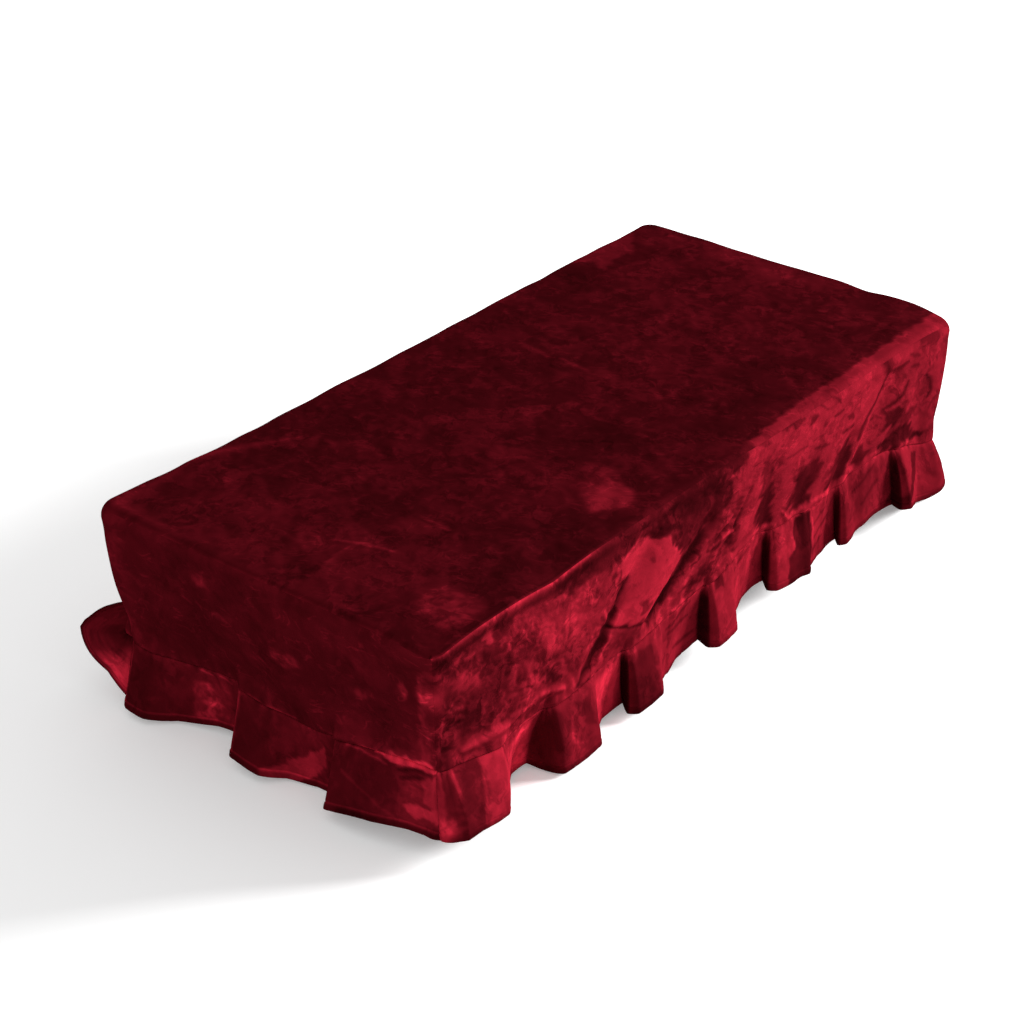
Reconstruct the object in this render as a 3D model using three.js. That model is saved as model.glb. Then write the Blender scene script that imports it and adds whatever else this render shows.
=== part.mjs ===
import * as THREE from 'three';

// A fitted cover for a piano bench in crushed velvet: a flat top, four walls that lean in a little,
// and a pleated flounce with a turned hem. Millimetres, +Z up, +X along the bench. The origin is the
// middle of the underside of the top, where the cover lies on the seat.

// Sizes of the body
const LENGTH = 764;
const WIDTH = 372;
const CORNER_RADIUS = 15;
const EDGE_ROLL = 7;
const WALL_LEAN = 13;
const WALL_BELLY = 2.5;
const CLOTH = 2;
const SEAM_GAP = 0.3;

// Sizes of the flounce
const FLOUNCE_DEPTH = 63;
const HEM_DEPTH = 8;
const HEM_CLOTH = 3;
const TUCK = 4;
const LEAST_FALL = 12;
const SEAM_PINCH = 2;
const SEAM_BUMP = 0.1;

// Shape of each pleat: share of the step out at the folded edge, and shares of the hollow at which the
// cloth has turned in and at which it lies flat before the next fold
const EDGE_SHARE = 0.62;
const TURN_SHARE = 0.22;
const REST_SHARE = 0.6;

// Front corners of the top, which slump where the seat stops short of them
const SLUMPS = [
  { x: -LENGTH / 2, y: -WIDTH / 2, depth: 9, reach: 95 },
  { x: LENGTH / 2, y: -WIDTH / 2, depth: 5, reach: 80 },
];

// How finely the cloth is laid out
const TOP_STEP = 24;
const WALL_STEP = { front: 13, right: 24, back: 24, left: 18 };
const CORNER_STEPS = 4;
const STEPS_PER_STATION = 2;
const TOP_INSETS = [88, 58, 30, 8];
const WALL_ROWS = [1, 1.16, 1.33, 1.5, 1.67, 1.84, 2];
const HEM_START = 1 - HEM_DEPTH / FLOUNCE_DEPTH;
const FLOUNCE_ROWS = [0, 0.28, 0.58, HEM_START - 0.02, HEM_START, 1];
const FLAT_HALF = { x: 230, y: 55 };
const PROBE = 0.005;
const PLACE_PROBE = 0.5;
const COLUMN_CLEAR = 2.5;
const HALVINGS = 40;

// Crimson pile
const VELVET = { color: '#7c0d1e', roughness: 0.85, metalness: 0 };

// Straight half runs and quarter turns of the outline of the walls, at mid cloth
const RUN_LONG = LENGTH / 2 - CLOTH / 2 - CORNER_RADIUS;
const RUN_SHORT = WIDTH / 2 - CLOTH / 2 - CORNER_RADIUS;
const TURN = (Math.PI / 2) * CORNER_RADIUS;
const QUARTER = RUN_LONG + TURN + RUN_SHORT;
const LAP = 4 * QUARTER;
const MID_CLOTH = CLOTH / 2;

// The top and each wall meet half way around the rolled edge, which is a quarter turn
const ROLL_LENGTH = EDGE_ROLL * (Math.PI / 2);
const ROLL_SEAM = 0.5;
const HALF_GAP = SEAM_GAP / 2;
const FOLD_FADE = 0.2;

// Each side by the place of its middle, walked left to right as seen from outside
const SIDES = {
  front: { middle: 0, run: RUN_LONG },
  right: { middle: QUARTER, run: RUN_SHORT },
  back: { middle: 2 * QUARTER, run: RUN_LONG },
  left: { middle: 3 * QUARTER, run: RUN_SHORT },
};

const wrap = (place) => ((place % LAP) + LAP) % LAP;

// Drop of the flounce seam below the seat, hitched up at the front left corner and over the long front
const SEAM = [
  { side: 'front', at: -355, drop: 118 },
  { side: 'front', at: -300, drop: 129 },
  { side: 'front', at: -220, drop: 132 },
  { side: 'front', at: -100, drop: 127 },
  { side: 'front', at: -20, drop: 121 },
  { side: 'front', at: 45, drop: 112 },
  { side: 'front', at: 110, drop: 112 },
  { side: 'front', at: 180, drop: 119 },
  { side: 'front', at: 250, drop: 109 },
  { side: 'front', at: 310, drop: 118 },
  { side: 'front', at: 360, drop: 135 },
  { side: 'right', at: -90, drop: 130 },
  { side: 'right', at: 0, drop: 126 },
  { side: 'right', at: 120, drop: 131 },
  { side: 'back', at: -300, drop: 133 },
  { side: 'back', at: -170, drop: 126 },
  { side: 'back', at: -40, drop: 130 },
  { side: 'back', at: 90, drop: 124 },
  { side: 'back', at: 220, drop: 131 },
  { side: 'back', at: 345, drop: 132 },
  { side: 'left', at: -150, drop: 131 },
  { side: 'left', at: -60, drop: 125 },
  { side: 'left', at: 10, drop: 131 },
  { side: 'left', at: 50, drop: 132 },
  { side: 'left', at: 100, drop: 120 },
  { side: 'left', at: 150, drop: 114 },
].map((row) => ({ place: wrap(SIDES[row.side].middle + row.at), drop: row.drop }));
SEAM.sort((a, b) => a.place - b.place);

// Drag folds of the walls: each runs from one spot to another, with its half width and its rise (out)
const WALL_FOLDS = [
  { side: 'front', fromAt: 274, fromDrop: 22, toAt: 222, toDrop: 108, wide: 13, rise: -5 },
  { side: 'front', fromAt: 300, fromDrop: 60, toAt: 240, toDrop: 96, wide: 14, rise: 3.5 },
  { side: 'front', fromAt: -29, fromDrop: 52, toAt: -98, toDrop: 112, wide: 12, rise: -5 },
  { side: 'front', fromAt: -112, fromDrop: 26, toAt: -188, toDrop: 118, wide: 12, rise: -4.5 },
  { side: 'front', fromAt: -80, fromDrop: 40, toAt: -112, toDrop: 92, wide: 22, rise: 4.5 },
  { side: 'front', fromAt: 78, fromDrop: 40, toAt: 79, toDrop: 108, wide: 14, rise: -4 },
  { side: 'front', fromAt: 146, fromDrop: 66, toAt: 132, toDrop: 110, wide: 13, rise: -4 },
  { side: 'front', fromAt: 210, fromDrop: 66, toAt: 194, toDrop: 112, wide: 11, rise: -4 },
  { side: 'front', fromAt: -250, fromDrop: 60, toAt: -290, toDrop: 110, wide: 26, rise: 3 },
  { side: 'front', fromAt: 330, fromDrop: 70, toAt: 345, toDrop: 126, wide: 18, rise: -3 },
  { side: 'left', fromAt: 82, fromDrop: 112, toAt: 150, toDrop: 100, wide: 14, rise: 3.5 },
  { side: 'left', fromAt: -120, fromDrop: 60, toAt: -60, toDrop: 112, wide: 24, rise: -2.5 },
  { side: 'left', fromAt: 20, fromDrop: 50, toAt: 40, toDrop: 118, wide: 24, rise: 2.5 },
  { side: 'back', fromAt: -250, fromDrop: 30, toAt: -200, toDrop: 112, wide: 14, rise: -4 },
  { side: 'back', fromAt: -60, fromDrop: 44, toAt: -30, toDrop: 118, wide: 16, rise: -3.5 },
  { side: 'back', fromAt: 110, fromDrop: 36, toAt: 88, toDrop: 112, wide: 20, rise: 3.5 },
  { side: 'back', fromAt: 240, fromDrop: 50, toAt: 205, toDrop: 118, wide: 14, rise: -4 },
  { side: 'right', fromAt: -70, fromDrop: 40, toAt: -52, toDrop: 116, wide: 15, rise: -3.5 },
  { side: 'right', fromAt: 80, fromDrop: 52, toAt: 60, toDrop: 114, wide: 18, rise: 3 },
];

// Pleats of the flounce at the hem: the folded edge, where the face of the pleat ends, how far the cloth
// stands out from the seam at both, how far the hollow after it goes in (minus), and a flick upwards
const PLEATS = {
  front: [
    { fold: -366, face: -324, reach: 25, tail: 25, dip: -14 },
    { fold: -232, face: -180, reach: 13, tail: 15, dip: -10 },
    { fold: -127, face: -90, reach: 12, tail: 14, dip: -10 },
    { fold: -14, face: 14, reach: 14, tail: 13, dip: -12 },
    { fold: 84, face: 140, reach: 8, tail: 13, dip: -5 },
    { fold: 199, face: 216, reach: 11, tail: 12, dip: -6 },
    { fold: 286, face: 302, reach: 25, tail: 22, dip: 8 },
  ],
  right: [
    { fold: -166, face: -122, reach: 22, tail: 19, dip: -8 },
    { fold: -52, face: -16, reach: 17, tail: 20, dip: -7 },
    { fold: 58, face: 104, reach: 20, tail: 15, dip: -4 },
  ],
  back: [
    { fold: -360, face: -322, reach: 24, tail: 22, dip: -9 },
    { fold: -262, face: -226, reach: 15, tail: 17, dip: -8 },
    { fold: -150, face: -104, reach: 16, tail: 13, dip: -10 },
    { fold: -34, face: -8, reach: 13, tail: 15, dip: -8 },
    { fold: 84, face: 128, reach: 17, tail: 20, dip: -4 },
    { fold: 196, face: 240, reach: 30, tail: 38, dip: 30, lift: 4 },
    { fold: 300, face: 370, reach: 55, tail: 60, dip: 31, lift: 16 },
  ],
  left: [
    { fold: -175, face: -150, reach: 22, tail: 22, dip: -9 },
    { fold: -42, face: -8, reach: 21, tail: 22, dip: -6 },
    { fold: 66, face: 118, reach: 23, tail: 19, dip: 10 },
  ],
};

// How far the hem stands out at the joins on the corners, by the side that starts there
const JOIN_REACH = { front: 8, right: 20, back: 17, left: 14 };
const NEXT_SIDE = { front: 'right', right: 'back', back: 'left', left: 'front' };

const mix = (a, b, share) => a + (b - a) * share;

const ease = (share) => share * share * (3 - 2 * share);

// A place on the outline of the walls, moved out by an offset and with its straight runs shortened
function outline(place, offset, inset = 0) {
  const halfLap = 2 * QUARTER;
  const lap = Math.round(place / halfLap);
  const local = place - lap * halfLap;
  const hand = Math.sign(local) || 1;
  const turned = lap % 2 === 0 ? 1 : -1;
  const walked = Math.abs(local);
  const arc = THREE.MathUtils.clamp(walked - RUN_LONG, 0, TURN);
  const angle = arc / CORNER_RADIUS;
  const runLong = RUN_LONG - inset;
  const runShort = RUN_SHORT - inset;
  const forward = (Math.min(walked, RUN_LONG) * runLong) / RUN_LONG;
  const sideways = (Math.max(walked - RUN_LONG - TURN, 0) * runShort) / RUN_SHORT;
  const out = new THREE.Vector2(Math.sin(angle), -Math.cos(angle));
  const along = new THREE.Vector2(Math.cos(angle), Math.sin(angle));
  const radius = CORNER_RADIUS + offset;
  const sign = turned * hand;
  return {
    x: sign * (forward + out.x * radius),
    y: turned * (-runShort + sideways + out.y * radius),
    out: new THREE.Vector3(sign * out.x, turned * out.y, 0),
    along: new THREE.Vector3(turned * along.x, sign * along.y, 0),
  };
}

// Drop of the seam at a place, in one smooth line through the rows of its table
function seamDrop(place) {
  const here = wrap(place);
  const count = SEAM.length;
  const ahead = SEAM.findIndex((row) => row.place > here);
  const next = ahead < 0 ? 0 : ahead;
  const row = (k) => SEAM[(next + k + count) % count];
  const gap = (a, b) => wrap(row(b).place - row(a).place);
  const span = gap(-1, 0);
  const share = wrap(here - row(-1).place) / span;
  const leave = ((row(0).drop - row(-2).drop) / (gap(-2, -1) + span)) * span;
  const arrive = ((row(1).drop - row(-1).drop) / (span + gap(0, 1))) * span;
  const back = 1 - share;
  return (
    row(-1).drop * back * back * (1 + 2 * share) +
    row(0).drop * share * share * (1 + 2 * back) +
    leave * share * back * back -
    arrive * back * share * share
  );
}

// How far the drag folds push a spot of the wall out
function foldRise(place, drop) {
  const spot = new THREE.Vector3();
  const nearest = new THREE.Vector3();
  let rise = 0;
  for (const fold of WALL_FOLDS) {
    const at = wrap(place - SIDES[fold.side].middle + LAP / 2) - LAP / 2;
    spot.set(at, drop, 0);
    const line = new THREE.Line3(
      new THREE.Vector3(fold.fromAt, fold.fromDrop, 0),
      new THREE.Vector3(fold.toAt, fold.toDrop, 0),
    );
    line.closestPointToPoint(spot, true, nearest);
    rise += fold.rise * Math.exp(-((spot.distanceTo(nearest) / fold.wide) ** 2));
  }
  return rise;
}

// How far the slumped corners let the cloth down
function slump(x, y) {
  const share = (row) => Math.max(0, 1 - Math.hypot(x - row.x, y - row.y) / row.reach);
  return SLUMPS.reduce((sum, row) => sum + row.depth * share(row) ** 2, 0);
}

// Mid cloth of top and walls in one run: below 0 the flat top (minus the inset), 0 to 1 the rolled edge,
// 1 to 2 the wall down to the flounce seam
function body(place, run) {
  const inset = Math.max(0, -run);
  const roll = THREE.MathUtils.clamp(run, 0, 1) * (Math.PI / 2);
  const down = THREE.MathUtils.clamp(run - 1, 0, 1);
  const foot = MID_CLOTH - EDGE_ROLL;
  const rolled = foot + EDGE_ROLL * Math.cos(roll);
  const z = mix(rolled, -seamDrop(place), down);
  let offset = EDGE_ROLL * (Math.sin(roll) - 1);
  if (down > 0) {
    const fade = ease(Math.min(1, down / FOLD_FADE));
    const belly = WALL_BELLY * Math.sin(Math.PI * down);
    offset += fade * (foldRise(place, -z) + belly) - WALL_LEAN * down;
  }
  const spot = outline(place, offset, inset);
  const sag = slump(spot.x, spot.y) * (1 - down) ** 2;
  return new THREE.Vector3(spot.x, spot.y, z - sag);
}

// Outward direction of a surface at two parameters, from small steps either side
function facing(surface, across, down, stepAcross, stepDown) {
  const right = surface(across + stepAcross, down).sub(surface(across - stepAcross, down));
  const below = surface(across, down + stepDown).sub(surface(across, down - stepDown));
  return below.cross(right).normalize();
}

// Offset of the wall's mid cloth at the seam, where the flounce starts
function seamOffset(place) {
  const spot = outline(place, 0);
  const edge = body(place, 2);
  return (edge.x - spot.x) * spot.out.x + (edge.y - spot.y) * spot.out.y;
}

// A closed sheet solid from rows of { mid, normal, thick }; a looped one has its first row filled flat
function sheet(rows, looped) {
  const points = [];
  const faces = [];
  const columns = rows[0].length;
  const quad = (a, b, c, d) => faces.push([a, b, c], [a, c, d]);
  for (const face of [1, -1]) {
    for (const row of rows) {
      for (const spot of row) {
        points.push(spot.mid.clone().addScaledVector(spot.normal, (face * spot.thick) / 2));
      }
    }
  }
  const outer = (i, j) => i * columns + (j % columns);
  const inner = (i, j) => rows.length * columns + outer(i, j);
  const lastRow = rows.length - 1;
  const spans = looped ? columns : columns - 1;
  for (let i = 0; i < lastRow; i += 1) {
    for (let j = 0; j < spans; j += 1) {
      quad(outer(i, j), outer(i + 1, j), outer(i + 1, j + 1), outer(i, j + 1));
      quad(inner(i, j), inner(i, j + 1), inner(i + 1, j + 1), inner(i + 1, j));
    }
  }
  for (let j = 0; j < spans; j += 1) {
    quad(outer(lastRow, j + 1), outer(lastRow, j), inner(lastRow, j), inner(lastRow, j + 1));
  }
  if (looped) {
    fillFlat(points, faces, columns, outer, inner);
  } else {
    for (let j = 0; j < spans; j += 1) {
      quad(outer(0, j), outer(0, j + 1), inner(0, j + 1), inner(0, j));
    }
    for (let i = 0; i < lastRow; i += 1) {
      quad(outer(i + 1, 0), outer(i, 0), inner(i, 0), inner(i + 1, 0));
      quad(outer(i, spans), outer(i + 1, spans), inner(i + 1, spans), inner(i, spans));
    }
  }
  const geometry = new THREE.BufferGeometry().setFromPoints(points);
  geometry.setIndex(faces.flat());
  geometry.computeVertexNormals();
  return geometry;
}

// Both flat faces of the top inside its first ring, around one plain rectangle in the middle
function fillFlat(points, faces, columns, outer, inner) {
  const { x, y } = FLAT_HALF;
  const corners = [[-x, -y], [x, -y], [x, y], [-x, y]].map(([a, b]) => new THREE.Vector2(a, b));
  for (const level of [outer, inner]) {
    const ring = Array.from({ length: columns }, (_, j) => level(0, j));
    const height = points[ring[0]].z;
    const first = points.length;
    const square = corners.map((_, k) => first + k);
    for (const corner of corners) {
      points.push(new THREE.Vector3(corner.x, corner.y, height));
    }
    const contour = ring.map((id) => new THREE.Vector2(points[id].x, points[id].y));
    const hole = [...corners].reverse();
    const ids = [...ring, ...[...square].reverse()];
    const filled = THREE.ShapeUtils.triangulateShape(contour, [hole]);
    const flat = [
      ...filled.map((face) => face.map((k) => ids[k])),
      [square[0], square[1], square[2]],
      [square[0], square[2], square[3]],
    ];
    for (const face of flat) {
      faces.push(level === outer ? face : [...face].reverse());
    }
  }
}

// Places along one side from corner join to corner join, closer together around the corners
function wallPlaces(side, step, gap) {
  const { middle, run } = SIDES[side];
  const half = TURN / 2;
  const spans = Math.round((2 * run) / step);
  const corner = CORNER_STEPS / 2;
  const places = [];
  for (let k = 0; k < corner; k += 1) {
    places.push(-run - half + (half * k) / corner + (k === 0 ? gap / 2 : 0));
  }
  for (let k = 0; k <= spans; k += 1) {
    places.push(-run + (2 * run * k) / spans);
  }
  for (let k = 1; k <= corner; k += 1) {
    places.push(run + (half * k) / corner - (k === corner ? gap / 2 : 0));
  }
  return places.map((at) => middle + at);
}

// One spot of top or wall, with the direction its thickness is laid in
function bodySpot(place, run) {
  const normal = facing(body, place, run, PLACE_PROBE, PROBE);
  if (run === 2) {
    normal.copy(outline(place, 0).out);
  }
  return { mid: body(place, run), normal, thick: CLOTH };
}

function topPanel() {
  const places = Object.keys(SIDES).flatMap((side) => wallPlaces(side, TOP_STEP, 0).slice(0, -1));
  const edge = ROLL_SEAM - HALF_GAP / ROLL_LENGTH;
  const runs = [...TOP_INSETS.map((inset) => -inset), 0, ROLL_SEAM / 2, edge];
  return sheet(runs.map((run) => places.map((place) => bodySpot(place, run))), true);
}

function wall(side) {
  const edge = ROLL_SEAM + HALF_GAP / ROLL_LENGTH;
  const runs = [edge, mix(ROLL_SEAM, 1, 0.5), ...WALL_ROWS];
  const places = wallPlaces(side, WALL_STEP[side], SEAM_GAP);
  const rows = runs.map((run) => places.map((place) => bodySpot(place, run)));
  for (const spot of rows[rows.length - 1]) {
    spot.mid.z += HALF_GAP;
  }
  return sheet(rows, false);
}

// Stations of one flounce strip: where the cloth is at the seam and at the hem, and how it stands out
function stations(side) {
  const end = SIDES[side].run + TURN / 2 - HALF_GAP;
  const rows = PLEATS[side];
  const list = [];
  const station = (seam, hem, reach, lift = 0) => list.push({ seam, hem, reach, lift });
  station(-end, -end, JOIN_REACH[side]);
  rows.forEach(({ fold, face, reach, tail, dip, lift }, k) => {
    const before = rows[k - 1];
    const next = rows[k + 1];
    if (before) {
      const rest = mix(before.face, fold, REST_SHARE);
      station(rest, rest, before.dip, lift);
      station(fold - SEAM_PINCH, fold + TUCK, before.dip, lift);
    }
    const inside = before ? before.dip : JOIN_REACH[side];
    station(fold + SEAM_PINCH, fold, mix(inside, reach, EDGE_SHARE), lift);
    station(fold + 3 * SEAM_PINCH, fold + TUCK, reach, lift);
    station(face, face, tail, lift);
    const turn = next ? mix(face, next.fold, TURN_SHARE) : mix(face, end, 0.5);
    station(turn, turn, next ? mix(tail, dip, EDGE_SHARE) : dip, lift);
  });
  station(end, end, JOIN_REACH[NEXT_SIDE[side]]);
  return list;
}

// Drop of the lower edge of a wall, straight from column to column
function wallEdgeDrop(places, place) {
  const found = places.findIndex((column) => column >= place);
  const next = found < 0 ? places.length - 1 : Math.max(1, found);
  const [from, to] = [places[next - 1], places[next]];
  return mix(seamDrop(from), seamDrop(to), (place - from) / (to - from));
}

// Shares of a strip's length at which it has columns: evenly by station, and one under each wall column
function stripShares(seamLine, columns, places, middle) {
  const wanted = places.slice(1, -1).map((place) => {
    let [low, high] = [0, 1];
    for (let k = 0; k < HALVINGS; k += 1) {
      const half = (low + high) / 2;
      [low, high] = middle + seamLine.getPoint(half).x < place ? [half, high] : [low, half];
    }
    return low;
  });
  const clear = (share) => {
    const at = middle + seamLine.getPoint(share).x;
    return places.every((place) => Math.abs(place - at) > COLUMN_CLEAR);
  };
  const even = Array.from({ length: columns - 1 }, (_, k) => (k + 1) / columns).filter(clear);
  return [0, ...[...even, ...wanted].sort((a, b) => a - b), 1];
}

function flounce(side) {
  const { middle } = SIDES[side];
  const list = stations(side);
  const places = wallPlaces(side, WALL_STEP[side], SEAM_GAP);
  const spline = (read) => new THREE.CatmullRomCurve3(list.map(read), false, 'centripetal');
  const seamLine = spline((s) => new THREE.Vector3(s.seam, s.reach * SEAM_BUMP, s.lift));
  const hemLine = spline((s) => new THREE.Vector3(s.hem, s.reach, s.lift));
  const shares = stripShares(seamLine, (list.length - 1) * STEPS_PER_STATION, places, middle);
  const surface = (share, depth) => {
    const top = seamLine.getPoint(THREE.MathUtils.clamp(share, 0, 1));
    const low = hemLine.getPoint(THREE.MathUtils.clamp(share, 0, 1));
    const fall = Math.sqrt(Math.max(LEAST_FALL ** 2, FLOUNCE_DEPTH ** 2 - low.y ** 2));
    const offset = seamOffset(middle + top.x) + mix(top.y, low.y, depth);
    const spot = outline(middle + mix(top.x, low.x, depth), offset);
    const edge = wallEdgeDrop(places, middle + top.x) + HALF_GAP;
    return new THREE.Vector3(spot.x, spot.y, low.z * depth * depth - edge - fall * depth);
  };
  const spotAt = (share, depth) => {
    const normal = facing(surface, share, depth, PROBE / list.length, PROBE);
    if (depth === 0) {
      normal.setZ(0).normalize();
    }
    if (share === 0 || share === 1) {
      const { along } = outline(middle + seamLine.getPoint(share).x, 0);
      normal.addScaledVector(along, -normal.dot(along)).normalize();
    }
    const thick = depth >= HEM_START ? HEM_CLOTH : CLOTH;
    return { mid: surface(share, depth), normal, thick };
  };
  return sheet(FLOUNCE_ROWS.map((depth) => shares.map((share) => spotAt(share, depth))), false);
}

const cover = new THREE.Group();
cover.name = 'piano_bench_cover';

function add(name, geometry) {
  const mesh = new THREE.Mesh(geometry, new THREE.MeshStandardMaterial(VELVET));
  mesh.name = name;
  cover.add(mesh);
}

add('top_panel', topPanel());
for (const side of Object.keys(SIDES)) {
  add(`${side}_wall`, wall(side));
  add(`${side}_flounce`, flounce(side));
}

export default cover;
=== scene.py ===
"""A fitted piano bench cover in crushed crimson velvet: a flat top, four walls and a pleated flounce."""

import logging
import math
from dataclasses import dataclass
from enum import Enum, IntEnum

import bpy
import numpy as np
from mathutils import Matrix, Vector


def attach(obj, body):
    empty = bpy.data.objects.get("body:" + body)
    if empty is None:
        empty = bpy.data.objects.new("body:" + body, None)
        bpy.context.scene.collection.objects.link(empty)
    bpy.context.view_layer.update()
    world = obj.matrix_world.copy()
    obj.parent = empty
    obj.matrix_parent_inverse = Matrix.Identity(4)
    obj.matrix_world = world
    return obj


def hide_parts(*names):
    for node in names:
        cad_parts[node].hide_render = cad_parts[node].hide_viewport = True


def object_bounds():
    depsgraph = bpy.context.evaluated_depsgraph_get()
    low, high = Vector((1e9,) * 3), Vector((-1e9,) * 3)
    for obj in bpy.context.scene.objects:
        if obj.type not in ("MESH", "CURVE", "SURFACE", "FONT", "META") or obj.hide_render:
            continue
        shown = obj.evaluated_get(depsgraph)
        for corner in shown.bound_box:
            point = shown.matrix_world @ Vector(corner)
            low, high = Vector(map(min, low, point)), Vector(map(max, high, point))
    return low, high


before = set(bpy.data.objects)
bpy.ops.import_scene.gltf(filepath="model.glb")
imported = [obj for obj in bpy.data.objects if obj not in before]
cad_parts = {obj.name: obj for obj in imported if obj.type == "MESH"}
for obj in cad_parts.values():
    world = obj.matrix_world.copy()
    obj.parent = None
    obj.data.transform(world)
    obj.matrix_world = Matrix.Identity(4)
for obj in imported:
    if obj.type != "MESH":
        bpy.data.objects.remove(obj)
CAD_BOX = [[float(value) for value in corner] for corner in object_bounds()]

log = logging.getLogger("bench_cover")
Array = np.ndarray
Socket = bpy.types.NodeSocket
Spot = tuple[float, float]
MM = 0.001


class Side(Enum):
    """Sides of the cover, walked left to right as seen from outside."""

    FRONT = 0
    RIGHT = 1
    BACK = 2
    LEFT = 3

    @property
    def label(self) -> str:
        """Name of the side as the nodes use it."""
        return self.name.lower()

    @property
    def following(self) -> "Side":
        """Side that comes next on the walk."""
        return Side((self.value + 1) % len(Side))


class Hold(Enum):
    """How a piece of cloth is held."""

    LAID = "laid"
    HUNG = "hung"
    GATHERED = "gathered"


class Seed(IntEnum):
    """Patterns of unevenness. Those of walls and flounces go on by the number of the side."""

    EDGE = 7
    CORNER = 9
    TOP = 11
    TOP_MARKS = 12
    WALL = 20
    WALL_MARKS = 30
    FLOUNCE = 40
    FLOUNCE_MARKS = 50


F, R, B, L = Side.FRONT, Side.RIGHT, Side.BACK, Side.LEFT


def mix(start: Array | float, end: Array | float, share: Array | float) -> Array | float:
    """Value a share of the way from start to end."""
    return start + (end - start) * share


def ease(share: Array | float) -> Array | float:
    """Share with a soft start and a soft stop."""
    share = np.clip(share, 0.0, 1.0)
    return share * share * (3.0 - 2.0 * share)


def hump(distance: Array, half: float) -> Array:
    """1 on a line, falling off on both sides of it."""
    return np.exp(-((distance / half) ** 2))


def from_segment(along: Array, down: Array, start: Spot, end: Spot) -> tuple[Array, Array]:
    """Measures spots from a straight line.

    Args:
        along: First coordinate of the spots.
        down: Second coordinate of the spots.
        start: Start of the line.
        end: End of the line.

    Returns:
        Distance of each spot from the line, and the share of the line walked to the place nearest to it.
    """
    step_a, step_d = end[0] - start[0], end[1] - start[1]
    da, dd = along - start[0], down - start[1]
    part = np.clip((da * step_a + dd * step_d) / (step_a**2 + step_d**2), 0, 1)
    return np.hypot(da - part * step_a, dd - part * step_d), part


@dataclass(frozen=True)
class Fold:
    """A crease or ridge along a line of (along, down) spots in mm.

    It has a half width, a rise out of the cloth, a lie of the pile, partly painted shade in a crease and painted
    highlight on a ridge, a narrowing at its ends and the crumpling left on it.
    """

    line: tuple[Spot, ...]
    wide: float
    rise: float = 0.0
    pile_and_painted_light: float = 0.0
    taper: float = 0.0
    crush: float = 1.0

    def share(self, along: Array, down: Array) -> Array:
        """How much of the fold there is at spots of its side.

        Args:
            along: Distance of the spots along the side.
            down: Drop of the spots.

        Returns:
            1 on the line, falling off on both sides.
        """
        near, walked = np.inf, 0.0
        for k, (start, end) in enumerate(zip(self.line, self.line[1:])):
            here, part = from_segment(along, down, start, end)
            walked = np.where(here < near, (k + part) / (len(self.line) - 1), walked)
            near = np.minimum(near, here)
        return hump(near, self.wide * (1 - self.taper * (2 * walked - 1) ** 2))


@dataclass(frozen=True)
class Facet:
    """A patch of pile with a crisp border, partly painted light and shade: corners in mm, lie of the pile with
    the painted light, softness of the border, crumpling left in it.
    """

    corners: tuple[Spot, ...]
    pile_and_painted_light: float
    soft: float = 2.0
    crush: float = 1.0

    def share(self, along: Array, down: Array) -> Array:
        """How much of the patch there is at spots of its side.

        Args:
            along: Distance of the spots along the side.
            down: Drop of the spots.

        Returns:
            1 inside, 0 outside.
        """
        near, inside = np.inf, False
        for start, end in zip(self.corners, self.corners[1:] + self.corners[:1]):
            near = np.minimum(near, from_segment(along, down, start, end)[0])
            (a0, d0), (a1, d1) = start, end
            if d0 != d1:
                border = a0 + (a1 - a0) * (down - d0) / (d1 - d0)
                inside = inside ^ (((d0 > down) != (d1 > down)) & (along < border))
        return ease(np.where(inside, near, -near) / (2 * self.soft) + 0.5)


@dataclass(frozen=True)
class Patch:
    """A soft patch of pile, partly painted light and shade: middle and half sizes in mm, turn in degrees, lie of
    the pile with the painted light, crumpling left in it.
    """

    middle: Spot
    half: Spot
    turn: float
    pile_and_painted_light: float
    crush: float = 1.0

    def share(self, along: Array, down: Array) -> Array:
        """How much of the patch there is at spots of its side.

        Args:
            along: Distance of the spots along the side.
            down: Drop of the spots.

        Returns:
            1 in the middle, falling off to its border.
        """
        turn = math.radians(self.turn)
        da, dd = along - self.middle[0], down - self.middle[1]
        u = (da * math.cos(turn) + dd * math.sin(turn)) / self.half[0]
        v = (dd * math.cos(turn) - da * math.sin(turn)) / self.half[1]
        return np.exp(-((u * u + v * v) ** 2))


Mark = Fold | Facet | Patch


@dataclass(frozen=True)
class Pleat:
    """One pleat at the hem, in mm: folded edge, end of its face, reaches out, hollow after it, upward flick.

    Then the pile with painted light and shade on the face and the painted light in the hollow after it, how far
    the end of the face is lifted and drawn in, and how far the cloth runs under the folded edge.
    """

    fold: float
    face: float
    reach: float
    tail: float
    dip: float
    lift: float = 0.0
    face_pile_and_painted_light: float = 0.0
    hollow_painted_light: float = 0.05
    tail_lift: float = 0.0
    tail_in: float = 0.0
    tuck: float = 11.0


@dataclass(frozen=True)
class Slump:
    """A place where the top lets the cloth down, in mm: its middle, depth and reach."""

    x: float
    y: float
    depth: float
    reach: float

    def drop(self, x: Array, y: Array) -> Array:
        """How far the cloth is let down at spots of the top."""
        return self.depth * np.clip(1 - np.hypot(x - self.x, y - self.y) / self.reach, 0, 1) ** 2


# Distance between the points of the cloth on each side.
CLOTH_STEPS: dict[Side, float] = {F: 1.5, R: 2.2, B: 2.2, L: 1.7}

# Drop of the flounce seam below the seat, at distances from the middle of each side.
SEAM_DROPS: dict[Side, tuple[Spot, ...]] = {
    F: ((-355, 118), (-300, 129), (-220, 132), (-100, 127), (-20, 121), (45, 112), (110, 112),
        (180, 119), (250, 109), (310, 118), (360, 135)),
    R: ((-90, 130), (0, 126), (120, 131)),
    B: ((-300, 133), (-170, 126), (-40, 130), (90, 124), (220, 131), (350, 123)),
    L: ((-150, 131), (-60, 125), (10, 131), (50, 132), (100, 120), (150, 114)),
}

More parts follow.
